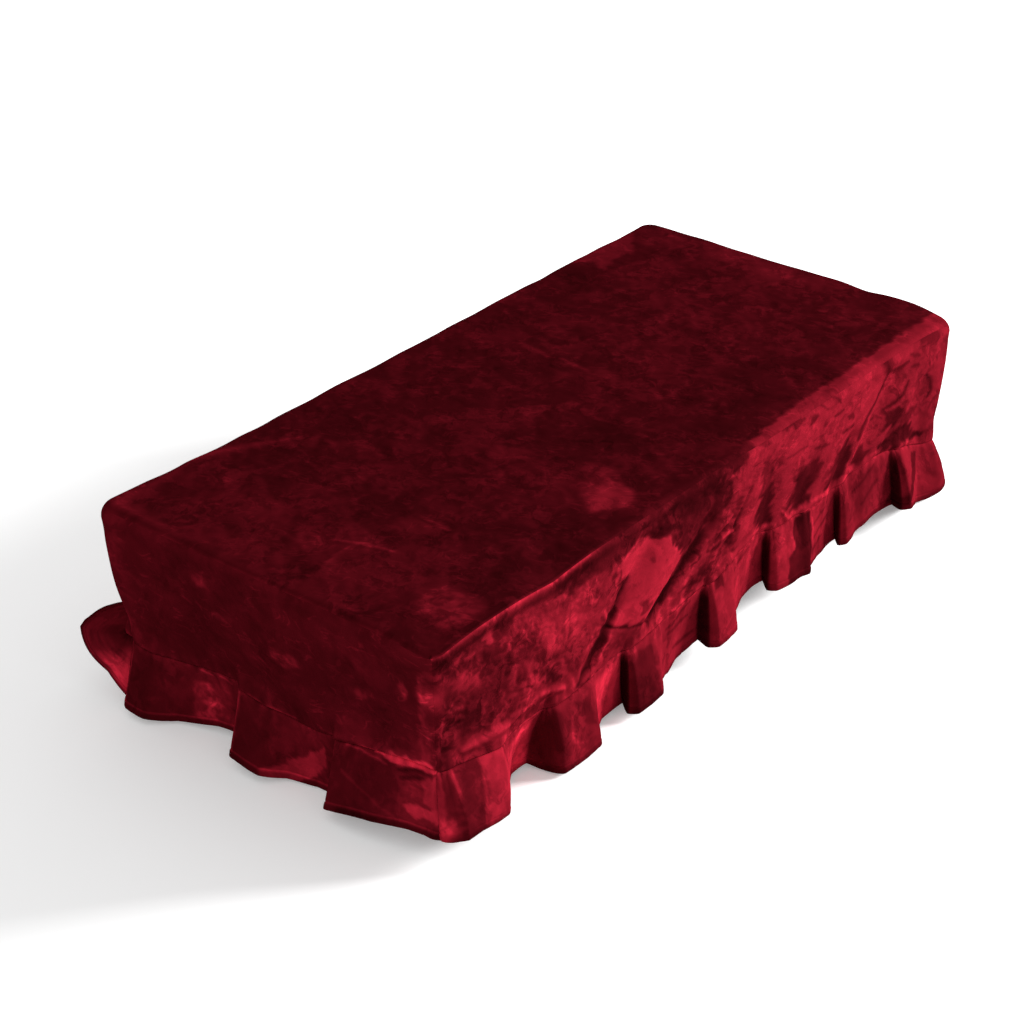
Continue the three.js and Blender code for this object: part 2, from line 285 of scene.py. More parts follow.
# How far the flounce stands out and flicks up at the left end of each side.
JOINS: dict[Side, Spot] = {F: (8, 0), R: (20, 10), B: (17, 0), L: (14, 0)}

PLEATS: dict[Side, tuple[Pleat, ...]] = {
    F: (Pleat(-366, -300, 26, 29, -20, 0, 0.05, 0.3, tail_lift=12, tail_in=20, tuck=0),
        Pleat(-230, -178, 13, 15, -10, 0, 0.0, 0.36, tuck=-6), Pleat(-127, -90, 12, 14, -10, 0, -0.06, 0.08),
        Pleat(-11, 19, 14, 15, -10, 0, 0.16, 0.14, tuck=5), Pleat(90, 142, 8, 13, -5, 0, 0.16, 0.08),
        Pleat(204, 219, 11, 12, 3, 0, 0.0, -0.06), Pleat(293, 306, 25, 22, 8, 0, 0.0, 0.04, tuck=6)),
    R: (Pleat(-166, -122, 22, 19, -8), Pleat(-52, -16, 17, 20, -7), Pleat(58, 104, 20, 15, -4)),
    B: (Pleat(-360, -322, 24, 22, -9), Pleat(-262, -226, 15, 17, -8), Pleat(-150, -104, 16, 13, -10),
        Pleat(-34, -8, 13, 15, -8), Pleat(84, 128, 17, 20, -4), Pleat(196, 240, 30, 38, 30, 4),
        Pleat(300, 370, 55, 60, 31, 16)),
    L: (Pleat(-175, -150, 22, 22, -9, 0, -0.05, 0.05), Pleat(-48.5, -10, 21, 22, -6, 0, -0.06, 0.05),
        Pleat(64, 118, 23, 19, 10, 0, -0.02, 0.16)),
}

# The main troughs and ridges of the hanging walls.
DRAG_FOLDS: dict[Side, tuple[Fold, ...]] = {
    F: (
        Fold(((274, 22), (222, 108)), 13, -5),
        Fold(((300, 60), (240, 96)), 14, 3.5),
        Fold(((-22, 52), (-94, 112)), 12, -5),
        Fold(((-107, 26), (-181, 118)), 12, -4.5),
        Fold(((-80, 40), (-112, 92)), 22, 4.5),
        Fold(((78, 40), (79, 108)), 14, -4),
        Fold(((146, 66), (132, 110)), 13, -4),
        Fold(((210, 66), (194, 112)), 11, -4),
        Fold(((-250, 60), (-290, 110)), 26, 3),
        Fold(((330, 70), (345, 126)), 18, -3),
    ),
    R: (
        Fold(((-70, 40), (-52, 116)), 15, -3.5),
        Fold(((80, 52), (60, 114)), 18, 3),
    ),
    B: (
        Fold(((-250, 30), (-200, 112)), 14, -4),
        Fold(((-60, 44), (-30, 118)), 16, -3.5),
        Fold(((110, 36), (88, 112)), 20, 3.5),
        Fold(((240, 50), (205, 118)), 14, -4),
    ),
    L: (
        Fold(((82, 112), (150, 100)), 14, 3.5),
        Fold(((-120, 60), (-60, 112)), 24, -2.5),
        Fold(((20, 50), (40, 118)), 24, 2.5),
    ),
}

# Finer creases of the walls, with painted shade in the creases and painted highlights on their ridges.
WALL_CREASES: dict[Side, tuple[Fold, ...]] = {
    F: (
        Fold(((-133, 52), (-141, 65), (-149, 78), (-156, 89), (-163, 99), (-170, 109), (-180, 119),
             (-194, 127)), 6.0, -0.9, -0.52, 0.4),
        Fold(((-142, 83), (-150, 94), (-157, 106), (-165, 118)), 2.0, 0.9, 0.12, 0.5),
        Fold(((-27, 60), (-37, 69), (-47, 78), (-60, 87), (-73, 95), (-85, 102), (-92, 106)),
             6.4, -0.9, -0.66, 0.0),
        Fold(((-20, 68), (-42, 86), (-76, 106)), 2.4, 1.0, 0.12, 0.5),
        Fold(((-154, 90), (-139, 97), (-122, 104), (-107, 110), (-96, 115)), 2.0, -0.6, -0.28, 0.4),
        Fold(((254, -8), (258, 5), (262, 15), (261, 25), (254, 35)), 6.2, -0.8, -0.4, 0.2),
        Fold(((258, 30), (246, 43), (236, 51), (229, 60), (225, 72)), 4.6, -0.8, -0.42, 0.4),
        Fold(((240, 58), (231, 70), (224, 82), (220, 95)), 2.6, 1.4, 0.12, 0.4),
        Fold(((-60, 124), (-20, 118), (0, 115), (20, 109), (42, 105), (67, 102), (93, 107)),
             3.0, 1.5, 0.02, 0.2),
        Fold(((104, 98), (112, 108), (127, 110), (150, 111), (167, 112), (186, 116)), 3.0, 1.5, -0.02, 0.2),
        Fold(((222, 108), (250, 103), (279, 106), (300, 111), (330, 119)), 3.0, 1.5, 0.0, 0.3),
        Fold(((-345, 108), (-310, 113), (-275, 113), (-240, 111), (-215, 119)), 4.5, 1.6, 0.14, 0.4),
        Fold(((-17, 79), (19, 76)), 2.4, 1.2, 0.12, 0.5),
        Fold(((-27, 56), (-14, 43)), 2.2, 1.0, 0.12, 0.5),
        Fold(((-4, 67), (16, 58)), 2.2, 1.0, 0.12, 0.5),
        Fold(((4, 90), (24, 78)), 2.2, -1.2, -0.2, 0.5),
        Fold(((-8, 76), (10, 66)), 2.0, -1.0, -0.2, 0.5),
        Fold(((20, 72), (30, 58)), 2.2, -1.0, -0.2, 0.5),
        Fold(((30, 58), (44, 40)), 2.2, -1.0, -0.16, 0.5),
    ),
    L: (
        Fold(((70, 122), (100, 115), (150, 108), (178, 106)), 4.0, 2.0, 0.06, 0.4),
    ),
}

# Marks on the walls: patches of crushed pile, with painted shade in hollows, creases and along the seam and
# painted highlights on ridges.
WALL_MARKS: dict[Side, tuple[Mark, ...]] = {
    F: (
        Facet(((-243, 8), (-200, 5), (-165, -3), (-112, -4), (-118, 14), (-135, 20), (-152, 27), (-175, 25),
              (-205, 22), (-232, 20)), -0.26, 3),
        Facet(((-308, 5), (-290, 5), (-286, 16), (-296, 22), (-306, 17)), -0.22, 3),
        Facet(((-392, 6), (-362, 6), (-350, 14), (-366, 20), (-392, 19)), -0.18, 4),
        Facet(((-323, 6), (-312, 7), (-309, 21), (-314, 24), (-322, 15)), 0.26, 1.5, 0.4),
        Fold(((-371, 19), (-352, 18), (-333, 20)), 2.2, 0.4, 0.16, 0.5),
        Facet(((-362, 31), (-345, 31), (-330, 40), (-325, 51), (-340, 50), (-357, 42)), 0.2, 4, 0.7),
        Facet(((-335, 24), (-300, 24), (-288, 45), (-290, 68), (-308, 84), (-306, 100), (-340, 100),
              (-352, 70), (-330, 56), (-320, 45)), -0.18, 6),
        Patch((-333, 80), (12, 9), 30, -0.12),
        Facet(((-262, 26), (-190, 28), (-160, 42), (-150, 60), (-165, 80), (-185, 100), (-215, 80),
              (-250, 62)), 0.08, 8),
        Patch((-200, 48), (16, 18), 0, 0.1),
        Facet(((-266, 80), (-256, 79), (-247, 93), (-255, 97), (-264, 90)), 0.22, 2, 0.6),
        Facet(((-250, 81), (-238, 84), (-222, 100), (-221, 110), (-234, 104)), -0.26, 2.5),
        Fold(((-221, 90), (-210, 106), (-199, 123)), 3, 0.8, 0.2, 0.4),
        Fold(((-275, 97), (-250, 104), (-228, 117)), 4, 0.8, 0.18, 0.4),
        Patch((-279, 112), (10, 6), 20, -0.16),
        Patch((-157, 36), (5, 4), 0, -0.28),
        Fold(((-161, 46), (-142, 49)), 1.6, 0.5, 0.14, 0.4),
        Fold(((-152, 31), (-140, 26), (-127, 20), (-118, 11)), 1.9, 0.9, 0.24, 0.4),
        Facet(((-151, 32), (-138, 28), (-127, 25), (-101, 24), (-91, 28), (-81, 37), (-74, 49), (-56, 67),
              (-67, 75), (-77, 87), (-88, 100), (-95, 110), (-122, 101), (-149, 88), (-144, 70), (-136, 55),
              (-140, 46)), 0.23, 1.6, 0.3),
        Facet(((-156, 48), (-136, 49), (-134, 54), (-146, 53)), -0.36, 1.2),
        Patch((-103, 46), (3.2, 2.4), 30, -0.2),
        Patch((-89, 52), (1.8, 1.4), 0, -0.16),
        Facet(((-121, 84), (-110, 80), (-102, 86), (-106, 95), (-115, 91)), -0.28, 2),
        Patch((-94, 92), (3, 4), 0, -0.2),
        Facet(((-116, 8), (-100, -12), (34, -12), (30, 8), (9, 14), (9, 42), (-8, 48), (-30, 54), (-50, 62),
              (-62, 58), (-74, 44), (-86, 29), (-100, 23), (-113, 22)), -0.32, 3),
        Facet(((-100, 16), (-86, 5), (-20, 0), (0, 4), (-4, 24), (-40, 28), (-76, 29)), -0.14, 4),
        Fold(((-88, 3), (-76, 2), (-67, -2)), 2.6, 0, 0.16, 0.5),
        Fold(((-77, 31), (-64, 35)), 2, 0.4, 0.14, 0.5),
        Fold(((-52, 44), (-44, 55)), 2.2, 0.5, 0.16, 0.5),
        Fold(((-32, 33), (-14, 40)), 2, 0.4, 0.1, 0.5),
        Facet(((-18, 70), (2, 70), (6, 80), (-4, 86), (-16, 82)), -0.24, 2.5),
        Facet(((-27, 91), (-14, 90), (-6, 103), (-14, 109), (-25, 100)), -0.22, 2.5),
        Fold(((-54, 106), (-36, 104), (-20, 110)), 2.6, 0, -0.24, 0.4),
        Fold(((-52, 124), (-22, 121)), 2.2, 0, -0.26, 0.4),
        Fold(((-187, 121), (-168, 120)), 1.6, 0, -0.22, 0.4),
        Fold(((-190, 130), (-165, 128)), 1.6, 0, -0.22, 0.4),
        Facet(((-121, 107), (-97, 116), (-94, 123), (-115, 122)), -0.16, 3),
        Patch((25, 46), (7, 6), 30, -0.18),
        Patch((15, 69), (12, 4.5), 15, -0.2),
        Patch((18, 88), (9, 7), 40, -0.2),
        Patch((6, 30), (5, 14), 10, -0.16),
        Facet(((28, 68), (46, 70), (49, 94), (31, 95)), 0.1, 4, 0.6),
        Facet(((52, 2), (68, 4), (67, 9), (54, 8)), -0.22, 1.8),
        Facet(((87, 2), (97, -2), (116, 0), (121, 9), (104, 9), (92, 6)), -0.3, 1.6),
        Facet(((127, 7), (135, 8), (143, 15), (136, 18), (129, 15)), -0.26, 1.8),
        Fold(((136, -6), (148, 3), (160, 12)), 1.8, 0, -0.22, 0.4),
        Fold(((157, -4), (168, 4), (180, 14)), 2.2, 0, -0.24, 0.4),
        Fold(((171, 25), (187, 24)), 2.2, 0, -0.26, 0.4),
        Patch((158, 26), (5, 4), 0, -0.18),
        Fold(((46, 22), (60, 20)), 1.8, 0, -0.18, 0.4),
        Facet(((60, 24), (72, 20), (80, 36), (83, 62), (62, 62), (59, 42)), -0.3, 5),
        Facet(((61, 60), (82, 60), (87, 78), (90, 102), (68, 100), (60, 84)), -0.56, 4.5, 0.6),
        Facet(((118, 57), (140, 60), (158, 60), (160, 72), (154, 84), (149, 92), (151, 108), (126, 106),
              (114, 98), (110, 84), (114, 72)), -0.36, 4.5, 0.6),
        Facet(((120, 62), (136, 62), (145, 76), (148, 106), (124, 103), (116, 86)), -0.2, 5),
        Facet(((107, 64), (121, 66), (120, 71), (110, 70)), -0.26, 2),
        Facet(((103, 91), (115, 90), (117, 98), (106, 98)), -0.26, 2),
        Facet(((176, 88), (188, 72), (196, 62), (210, 62), (216, 80), (217, 105), (196, 110), (178, 106)),
              -0.38, 4, 0.6),
        Facet(((192, 68), (208, 66), (214, 84), (213, 106), (190, 106)), -0.2, 3.0),
        Fold(((97, 36), (130, 37)), 1.5, 0, -0.18, 0.4),
        Fold(((138, 36), (160, 36)), 1.5, 0, -0.16, 0.4),
        Fold(((143, 46), (156, 49), (167, 51)), 2.0, 0, -0.24, 0.4),
        Facet(((192, 33), (207, 32), (209, 40), (196, 41)), -0.26, 1.8),
        Fold(((190, 49), (209, 50)), 2.4, 0, -0.26, 0.4),
        Fold(((206, 17), (215, 19)), 2, 0, -0.16, 0.4),
        Fold(((268, 17), (282, 20), (297, 18)), 2.6, 0, -0.26, 0.4),
        Fold(((299, 11), (318, 20)), 2.2, 0, -0.2, 0.4),
        Fold(((304, 27), (317, 30)), 2.2, 0, -0.22, 0.4),
        Facet(((300, -6), (330, -4), (345, 6), (352, 18), (330, 12), (312, 3)), -0.2, 3),
        Fold(((266, 57), (282, 54), (294, 49), (301, 41)), 2.8, 0, -0.34, 0.4),
        Facet(((263, 62), (284, 62), (302, 76), (288, 82), (268, 77)), -0.44, 3.5),
        Facet(((276, 78), (310, 76), (330, 80), (326, 92), (300, 96), (280, 92)), -0.2, 4),
        Facet(((224, 92), (234, 85), (243, 96), (238, 104), (226, 107)), -0.32, 2.4),
        Facet(((262, 94), (280, 94), (300, 92), (318, 94), (332, 108), (350, 120), (328, 117), (298, 111),
              (266, 104)), -0.5, 3.5),
        Fold(((324, 115), (345, 119), (360, 121)), 2.2, 0, -0.3, 0.3),
        Fold(((335, 47), (346, 58), (350, 71), (345, 76)), 3.0, 0, -0.36, 0.4),
        Fold(((248, 64), (256, 62), (262, 66)), 1.6, 0, -0.16, 0.4),
        Facet(((34, -14), (290, -14), (260, 140), (34, 140)), 0.1, 14, 0.6),
        Facet(((290, -14), (400, -14), (400, 140), (260, 140)), 0.0, 14, 0.6),
        Fold(((-14, 72), (-46, 95), (-80, 117)), 7, 0, 0.18, 0.3),
        Fold(((-134, 78), (-146, 96), (-160, 116)), 6, 0, 0.14, 0.3),
        Patch((-376, 106), (9, 18), 0, 0.08),
    ),
    L: (
        Facet(((8, 60), (38, 58), (40, 68), (22, 74), (5, 70)), 0.26, 3, 1.2),
        Facet(((169, 22), (168, 45), (161, 88), (159, 112), (200, 120), (200, 18)), 0.2, 3.0, 1.2),
        Patch((174, 40), (12, 9), 0, 0.46, 1.2),
        Patch((178, 84), (7, 22), 0, 0.1, 1.2),
        Patch((152, 43), (5, 7), 0, 0.34, 1.2),
        Facet(((98, 117), (128, 112), (150, 108), (170, 106), (180, 108), (182, 140), (98, 140)), 0.54, 2.4),
        Fold(((-53, 124), (-25, 126), (6, 129), (21, 128)), 1.4, 0, 0.24, 0.2),
        Patch((-176, 104), (7, 12), 0, 0.16),
        Patch((-168, 60), (16, 55), 0, 0.08),
        Patch((-52, 54), (8, 4), 20, 0.14, 1.2),
        Patch((6, 83), (18, 5), 10, 0.1, 1.2),
        Patch((-70, 26), (9, 6), -20, 0.22, 1.2),
        Patch((106, 65), (12, 5), -25, 0.2, 1.2),
    ),
}

# Marks on the flounce: pile patches, with painted shade in grooves and gaps and painted highlights on folded
# edges and faces turned to the lamp.
FRILL_MARKS: dict[Side, tuple[Mark, ...]] = {
    F: (
        Facet(((-384, 0), (-370, 0), (-370, 66), (-384, 66)), 0.3, 2),
        Facet(((-378, 40), (-362, 40), (-363, 66), (-378, 66)), 0.14, 4),
        Fold(((-358, 2), (-360, 18)), 1.2, 0, 0.16),
        Facet(((-263, 4), (-243, 4), (-238, 66), (-258, 66)), 0.18, 3),
        Patch((-367, 50), (4, 9), 0, 0.2),
        Fold(((-361, 4), (-365, 32)), 4, 0, 0.16),
        Facet(((-355, -4), (-328, -4), (-332, 15), (-339, 36), (-346, 66), (-366, 66)), -0.14, 1.5),
        Fold(((-326, 4), (-330, 15), (-337, 36), (-344, 57)), 1.5, 0, 0.18, 0.3),
        Facet(((-326, -4), (-296, -4), (-300, 66), (-342, 66), (-334, 36), (-327, 15)), 0.18, 1.5),
        Facet(((-240, 10), (-236, -2), (-221, -2), (-221, 33), (-216, 66), (-236, 66)), -0.12, 3),
        Fold(((-210, 16), (-213, 30), (-211, 40), (-202, 45)), 2, 0, 0.2, 0.4),
        Patch((-202, 30), (13, 22), 0, 0.08, 1.4),
        Facet(((-204, 8), (-186, 10), (-182, 38), (-192, 34)), -0.16, 3),
        Facet(((-128, 4), (-98, 8), (-96, 14), (-92, 57), (-92, 66), (-132, 66)), -0.16, 1.5),
        Facet(((-126, -2), (-114, 3), (-118, 14), (-124, 10)), 0.12, 2.5),
        Facet(((-93, 6), (-74, 10), (-80, 60), (-88, 50)), 0.1, 2.5),
        Fold(((-64, 20), (-28, 22)), 2.2, 0, -0.2, 0.4),
        Fold(((-50, 44), (-17, 47)), 3, 0, -0.24, 0.4),
        Fold(((-66, 14), (-30, 6)), 2.4, 0, -0.18, 0.4),
        Facet(((-2, -2), (12, -1), (7, 10), (-3, 9)), -0.3, 1.5),
        Fold(((30, 12), (62, 4)), 2.4, 0, -0.18, 0.4),
        Facet(((130, 1), (152, 1), (158, 29), (158, 56), (140, 66), (108, 66), (110, 38), (124, 27),
              (122, 11)), -0.46, 1.5),
        Facet(((131, 2), (150, 2), (154, 30), (134, 32)), -0.18, 2),
        Fold(((156, 4), (160, 20), (165, 45)), 1.6, 0, 0.16, 0.3),
        Fold(((160, 20), (190, 10)), 2.4, 0, -0.2, 0.4),
        Fold(((165, 34), (196, 26)), 2.4, 0, -0.2, 0.4),
        Fold(((160, 48), (186, 42)), 2.4, 0, -0.18, 0.4),
        Fold(((226, 20), (262, 8)), 2.6, 0, -0.2, 0.4),
        Fold(((236, 38), (270, 26)), 2.6, 0, -0.18, 0.4),
        Facet(((326, 8), (343, 6), (338, 28), (316, 44), (292, 60), (286, 60), (302, 40), (322, 26)),
              -0.34, 1.5),
    ),
    B: (
        Patch((378, 40), (6, 25), 0, 0.58),
        Patch((372, 14), (9, 24), 0, -0.16),
        Fold(((340, 1), (380, 1)), 5, 0, -0.3),
    ),
    L: (
        Facet(((112, -4), (192, -4), (192, 6), (165, 5), (142, 6), (128, 5), (112, 1)), 0.56, 1.5),
        Fold(((82, 1), (99, 3), (121, 8), (126, 9)), 1.3, 0, 0.3, 0.2),
        Fold(((138, 11), (162, 5)), 1.6, 0, -0.3, 0.3),
        Fold(((140, 18), (162, 11)), 1.8, 0, -0.3, 0.3),
        Facet(((138, 18), (160, 12), (192, 4), (192, 52), (140, 54)), 0.1, 1.2),
        Facet(((143, 39), (192, 36), (192, 48), (146, 48)), 0.34, 1.5),
        Facet(((158, 10), (192, 4), (192, 40), (164, 34)), 0.24, 2),
        Fold(((80, 24), (110, 41), (138, 56)), 1.4, 0, 0.14, 0.2),
        Facet(((-10, 58), (21, 36), (47, 14), (50, 30), (40, 46), (26, 58), (4, 66), (-8, 66)), 0.36, 1.5),
        Facet(((-105, 16), (-62, 10), (-68, 56), (-110, 56)), 0.12, 2.5, 1.2),
        Facet(((-106, 18), (-83, 14), (-87, 54), (-110, 54)), 0.08, 2.5, 1.2),
        Patch((-89, 20), (8, 6), 0, 0.2, 1.2),
        Patch((-88, 39), (10, 9), 0, 0.2, 1.2),
        Fold(((-95, 2), (-82, 5)), 1.5, 0, 0.3, 0.4),
        Fold(((-42.5, 3), (-44.5, 55)), 2.2, 0, 0.4, 0.2),
        Fold(((84, 60.5), (182, 60.5)), 3.2, 0, -0.2, 0.2),
        Fold(((-73, 2), (-60, 6)), 1.2, 0, 0.26, 0.3),
    ),
}

# Marks on the top: patches and streaks of crushed pile, and a painted light strip along the front edge.
TOP_MARKS: tuple[Mark, ...] = (
    Facet(((-82, -92), (-68, -93), (-67, -117), (-87, -155), (-111, -166), (-137, -145), (-119, -122)),
          0.22, 7),
    Facet(((-80, -118), (-87, -155), (-111, -166), (-137, -145), (-119, -130)), 0.2, 3),
    Facet(((-317, -115), (-295, -125), (-300, -165), (-325, -176), (-350, -165), (-340, -135)), 0.26, 7, 1.1),
    Facet(((240, 190), (262, 166), (253, 140), (275, 150), (312, 150), (345, 178), (345, 190)), 0.24, 3, 0.6),
    Facet(((46, -200), (46, -176), (130, -170), (250, -169), (340, -167), (400, -160), (400, -200)),
          0.44, 2.4),
    Patch((362, 40), (18, 90), 0, 0.14),
    Patch((332, -15), (32, 45), 0, 0.08),
    Patch((-104, -50), (22, 50), -15, 0.08),
    Patch((209, 150), (45, 25), 10, -0.12),
    Patch((-32, -73), (40, 34), 0, -0.1),
    Patch((-160, 130), (60, 30), -20, -0.06),
    Patch((-240, 0), (34, 22), 0, -0.08),
    Patch((120, -120), (90, 45), 0, -0.08),
    Patch((-10, 110), (80, 50), 0, -0.05),
    Patch((-320, 60), (60, 110), 0, 0.09),
    Patch((-298, -62), (70, 70), 0, 0.09),
    Fold(((-292, 186), (-255, 177), (-220, 156), (-190, 137)), 5, 0.4, 0.22, 0.6),
    Fold(((-330, 176), (-285, 178)), 4, 0, 0.14, 0.6),
    Fold(((-234, 57), (-216, 50), (-197, 43)), 6, 0.3, 0.15, 0.5),
    Fold(((-301, -4), (-289, -29), (-283, -60)), 2.2, 0.5, 0.26, 0.6),
    Fold(((-309, 24), (-327, -2)), 3, 0.3, 0.16, 0.6),
    Fold(((-332, -29), (-316, -24), (-299, -25)), 2.4, 0.3, 0.18, 0.6),
    Fold(((-227, -42), (-231, -73)), 2.4, 0.5, 0.26, 0.6),
    Fold(((-178, 121), (-182, 102)), 2.2, 0.3, 0.16, 0.6),
    Fold(((-217, 105), (-222, 82)), 2.2, 0.3, 0.16, 0.6),
    Fold(((74, 104), (69, 67)), 2.6, 0.4, 0.2, 0.6),
    Fold(((72, 52), (67, 17)), 3, 0.4, 0.2, 0.6),
    Fold(((-6, 122), (13, 104)), 3, 0.3, 0.15, 0.6),
    Fold(((-4, -41), (3, -74)), 1.8, 0.3, 0.15, 0.6),
    Fold(((118, -61), (131, -103)), 5, 0.3, 0.14, 0.6),
)


class Ripple:
    """Smooth seeded unevenness over a flat sheet of cloth."""

    count = 256

    def __init__(self, seed: int) -> None:
        """Lays out the slopes of the ripple.

        Args:
            seed: Number that picks one fixed pattern.
        """
        draw = np.random.default_rng(seed)
        self.order = draw.permutation(self.count)
        angles = draw.uniform(0.0, 2.0 * math.pi, self.count)
        self.slopes = np.stack([np.cos(angles), np.sin(angles)], -1)

    def _corner(self, col: Array, row: Array, dx: Array, dy: Array) -> Array:
        """Pull of one grid corner on the spots around it."""
        pick = self.order[(self.order[col % self.count] + row) % self.count]
        return self.slopes[pick, 0] * dx + self.slopes[pick, 1] * dy

    def at(self, along: Array, across: Array) -> Array:
        """Height of the ripple.

        Args:
            along: First coordinate, in wavelengths.
            across: Second coordinate, in wavelengths.

        Returns:
            Heights between about -0.7 and 0.7.
        """
        col, row = np.floor(along).astype(int), np.floor(across).astype(int)
        dx, dy = along - col, across - row
        fx, fy = (d**3 * (d * (d * 6 - 15) + 10) for d in (dx, dy))
        low = mix(self._corner(col, row, dx, dy), self._corner(col + 1, row, dx - 1, dy), fx)
        high = mix(self._corner(col, row + 1, dx, dy - 1), self._corner(col + 1, row + 1, dx - 1, dy - 1), fx)
        return mix(low, high, fy)

    def sized(self, along: Array, across: Array, waves: Spot) -> Array:
        """Height of the ripple at coordinates in mm, with a wavelength for each."""
        return self.at(along / waves[0], across / waves[1])

    def uneven(self, along: Array, across: Array, coarse: Spot, fine: Spot, shift: float = 0.0) -> Array:
        """Unevenness in a coarse and a fine size.

        Args:
            along: First coordinate, in mm.
            across: Second coordinate, in mm.
            coarse: Height and wavelength of the coarse part.
            fine: Height and wavelength of the fine part.
            shift: Wavelengths by which the pattern is moved.

        Returns:
            Heights in the unit of the two given ones.
        """
        broad = coarse[0] * self.at(along / coarse[1] + shift, across / coarse[1])
        return broad + fine[0] * self.at(along / fine[1], across / fine[1] + shift)


@dataclass(frozen=True)
class Crush:
    """How cloth is crumpled: (size, depth) of its creases in mm, the lamp's way, and how strongly painted shading
    answers to facing it.

    Then the run of the creases, and how they bend, repeat in a finer size and come and go over the cloth.
    """

    waves: tuple[Spot, ...]
    # The lamp's way, toward which crumples are painted lighter.
    way: tuple[float, float, float]
    answer: float
    turn: float = 0.0
    stretch: float = 1.0
    bend: Spot = (0.7, -0.5)
    bend_size: float = 0.6
    bend_place: Spot = (11.3, -4.7)
    fine_depth: float = 0.5
    fine_size: float = 2.1
    fine_place: Spot = (5.2, -1.3)
    level: float = 0.38
    patchy: float = 50.0
    often: float = 0.75
    often_change: float = 1.9
    often_range: Spot = (0.12, 1.6)
    apart: float = 3.0
    most_painted_shading: float = 0.3

    def _creases(self, ripple: Ripple, along: Array, down: Array, size: float) -> Array:
        """Creases of one size, with sharp valleys and stretched along their run.

        Args:
            ripple: Pattern of the creases.
            along: First coordinate of the spots, in mm.
            down: Second coordinate of the spots, in mm.
            size: Wavelength across the run, in mm.

        Returns:
            Heights between about -0.5 and 0.5.
        """
        c, s = math.cos(math.radians(self.turn)), math.sin(math.radians(self.turn))
        u, v = (along * c + down * s) / (size * self.stretch), (down * c - along * s) / size
        bend = ripple.at(u * self.bend_size + self.bend_place[0], v * self.bend_size + self.bend_place[1])
        u, v = u + self.bend[0] * bend, v + self.bend[1] * bend
        fine = ripple.at(u * self.fine_size + self.fine_place[0], v * self.fine_size + self.fine_place[1])
        return np.abs(ripple.at(u, v)) + self.fine_depth * np.abs(fine) - self.level

    def relief(self, ripple: Ripple, along: Array, down: Array) -> Array:
        """Crumples spots, more in some places than in others.

        Args:
            ripple: Pattern of the creases.
            along: First coordinate of the spots, in mm.
            down: Second coordinate of the spots, in mm.

        Returns:
            Heights in mm.
        """
        height = 0.0
        for size, depth in self.waves:
            change = ripple.at(along / self.patchy + size, down / self.patchy)
            often = np.clip(self.often + self.often_change * change, *self.often_range)
            height = height + depth * often * self._creases(ripple, along + self.apart * size, down, size)
        return height

    def pile_and_painted_light(self, smooth: Array, crumpled: Array) -> Array:
        """Painted shading: the pile is painted lighter where crumpling turns the cloth toward the lamp's way,
        darker where it turns away.
        """
        turned = (crumpled - smooth) @ np.array(self.way)
        return self.most_painted_shading * np.tanh(self.answer / self.most_painted_shading * turned)


TOP_CRUSH = Crush(((44.0, 1.3), (19.0, 0.7), (10.0, 0.35)), (0.6, -0.75, 0.0), 0.6, turn=80, stretch=1.2)
FRONT_CRUSH = Crush(((48.0, 2.6), (22.0, 1.8), (11.0, 0.9)), (0.75, 0.0, 0.6), 0.7, turn=-20, stretch=1.2)
END_CRUSH = Crush(((48.0, 1.4), (20.0, 0.7), (10.0, 0.3)), (0.0, -0.75, 0.6), 0.45, turn=0, stretch=1.4)
FRILL_CRUSH = Crush(((36.0, 1.2), (15.0, 0.5)), (0.7, -0.6, 0.3), 0.35)


@dataclass(frozen=True)
class Brush:
    """Paints marks of brushed pile and of painted light and shade, with uneven borders.

    Facets fray along the streaks of the cloth by a fringe in mm. Pairs are a height and a wavelength.
    """

    ripple: Ripple
    fringe: float = 0.0
    coarse: Spot = (3.6, 12.0)
    fine: Spot = (2.2, 5.0)
    apart: float = 31.5
    fold_share: float = 0.4
    streak: Spot = (0.88, -0.47)
    streak_size: Spot = (26.0, 7.5)
    worn_coarse: Spot = (0.9, 8.0)
    worn_fine: Spot = (0.6, 4.0)
    worn_shift: float = 60.0

    def over(self, along: Array, down: Array, marks: tuple[Mark, ...]) -> tuple[Array, Array]:
        """Adds up marks.

        Args:
            along: First coordinate of the spots, in mm.
            down: Second coordinate of the spots, in mm.
            marks: Marks to add up.

        Returns:
            Pile and painted light at each spot, 0 where there is no mark, and the share of crumpling left there.
        """
        ripple, (way_a, way_d) = self.ripple, self.streak
        pile_and_painted_light, crush = np.zeros(np.broadcast(along, down).shape), np.ones(np.broadcast(along, down).shape)
        shake = [ripple.uneven(along, down, self.coarse, self.fine, shift) for shift in (0.0, self.apart)]
        run, across = along * way_a + down * way_d, down * way_a - along * way_d
        fray = self.fringe * ripple.sized(run, across, self.streak_size)
        worn = 1 + ripple.uneven(along, down, self.worn_coarse, self.worn_fine, self.worn_shift)
        for mark in marks:
            loose = self.fold_share if isinstance(mark, Fold) else 1.0
            ragged = fray if isinstance(mark, Facet) else 0.0
            share = mark.share(along + loose * shake[0] + way_a * ragged,
                               down + loose * shake[1] + way_d * ragged)
            pile_and_painted_light = pile_and_painted_light + mark.pile_and_painted_light * share * (worn if mark.crush > 1 else 1)
            crush = crush * (1 - (1 - mark.crush) * share)
        return pile_and_painted_light, crush


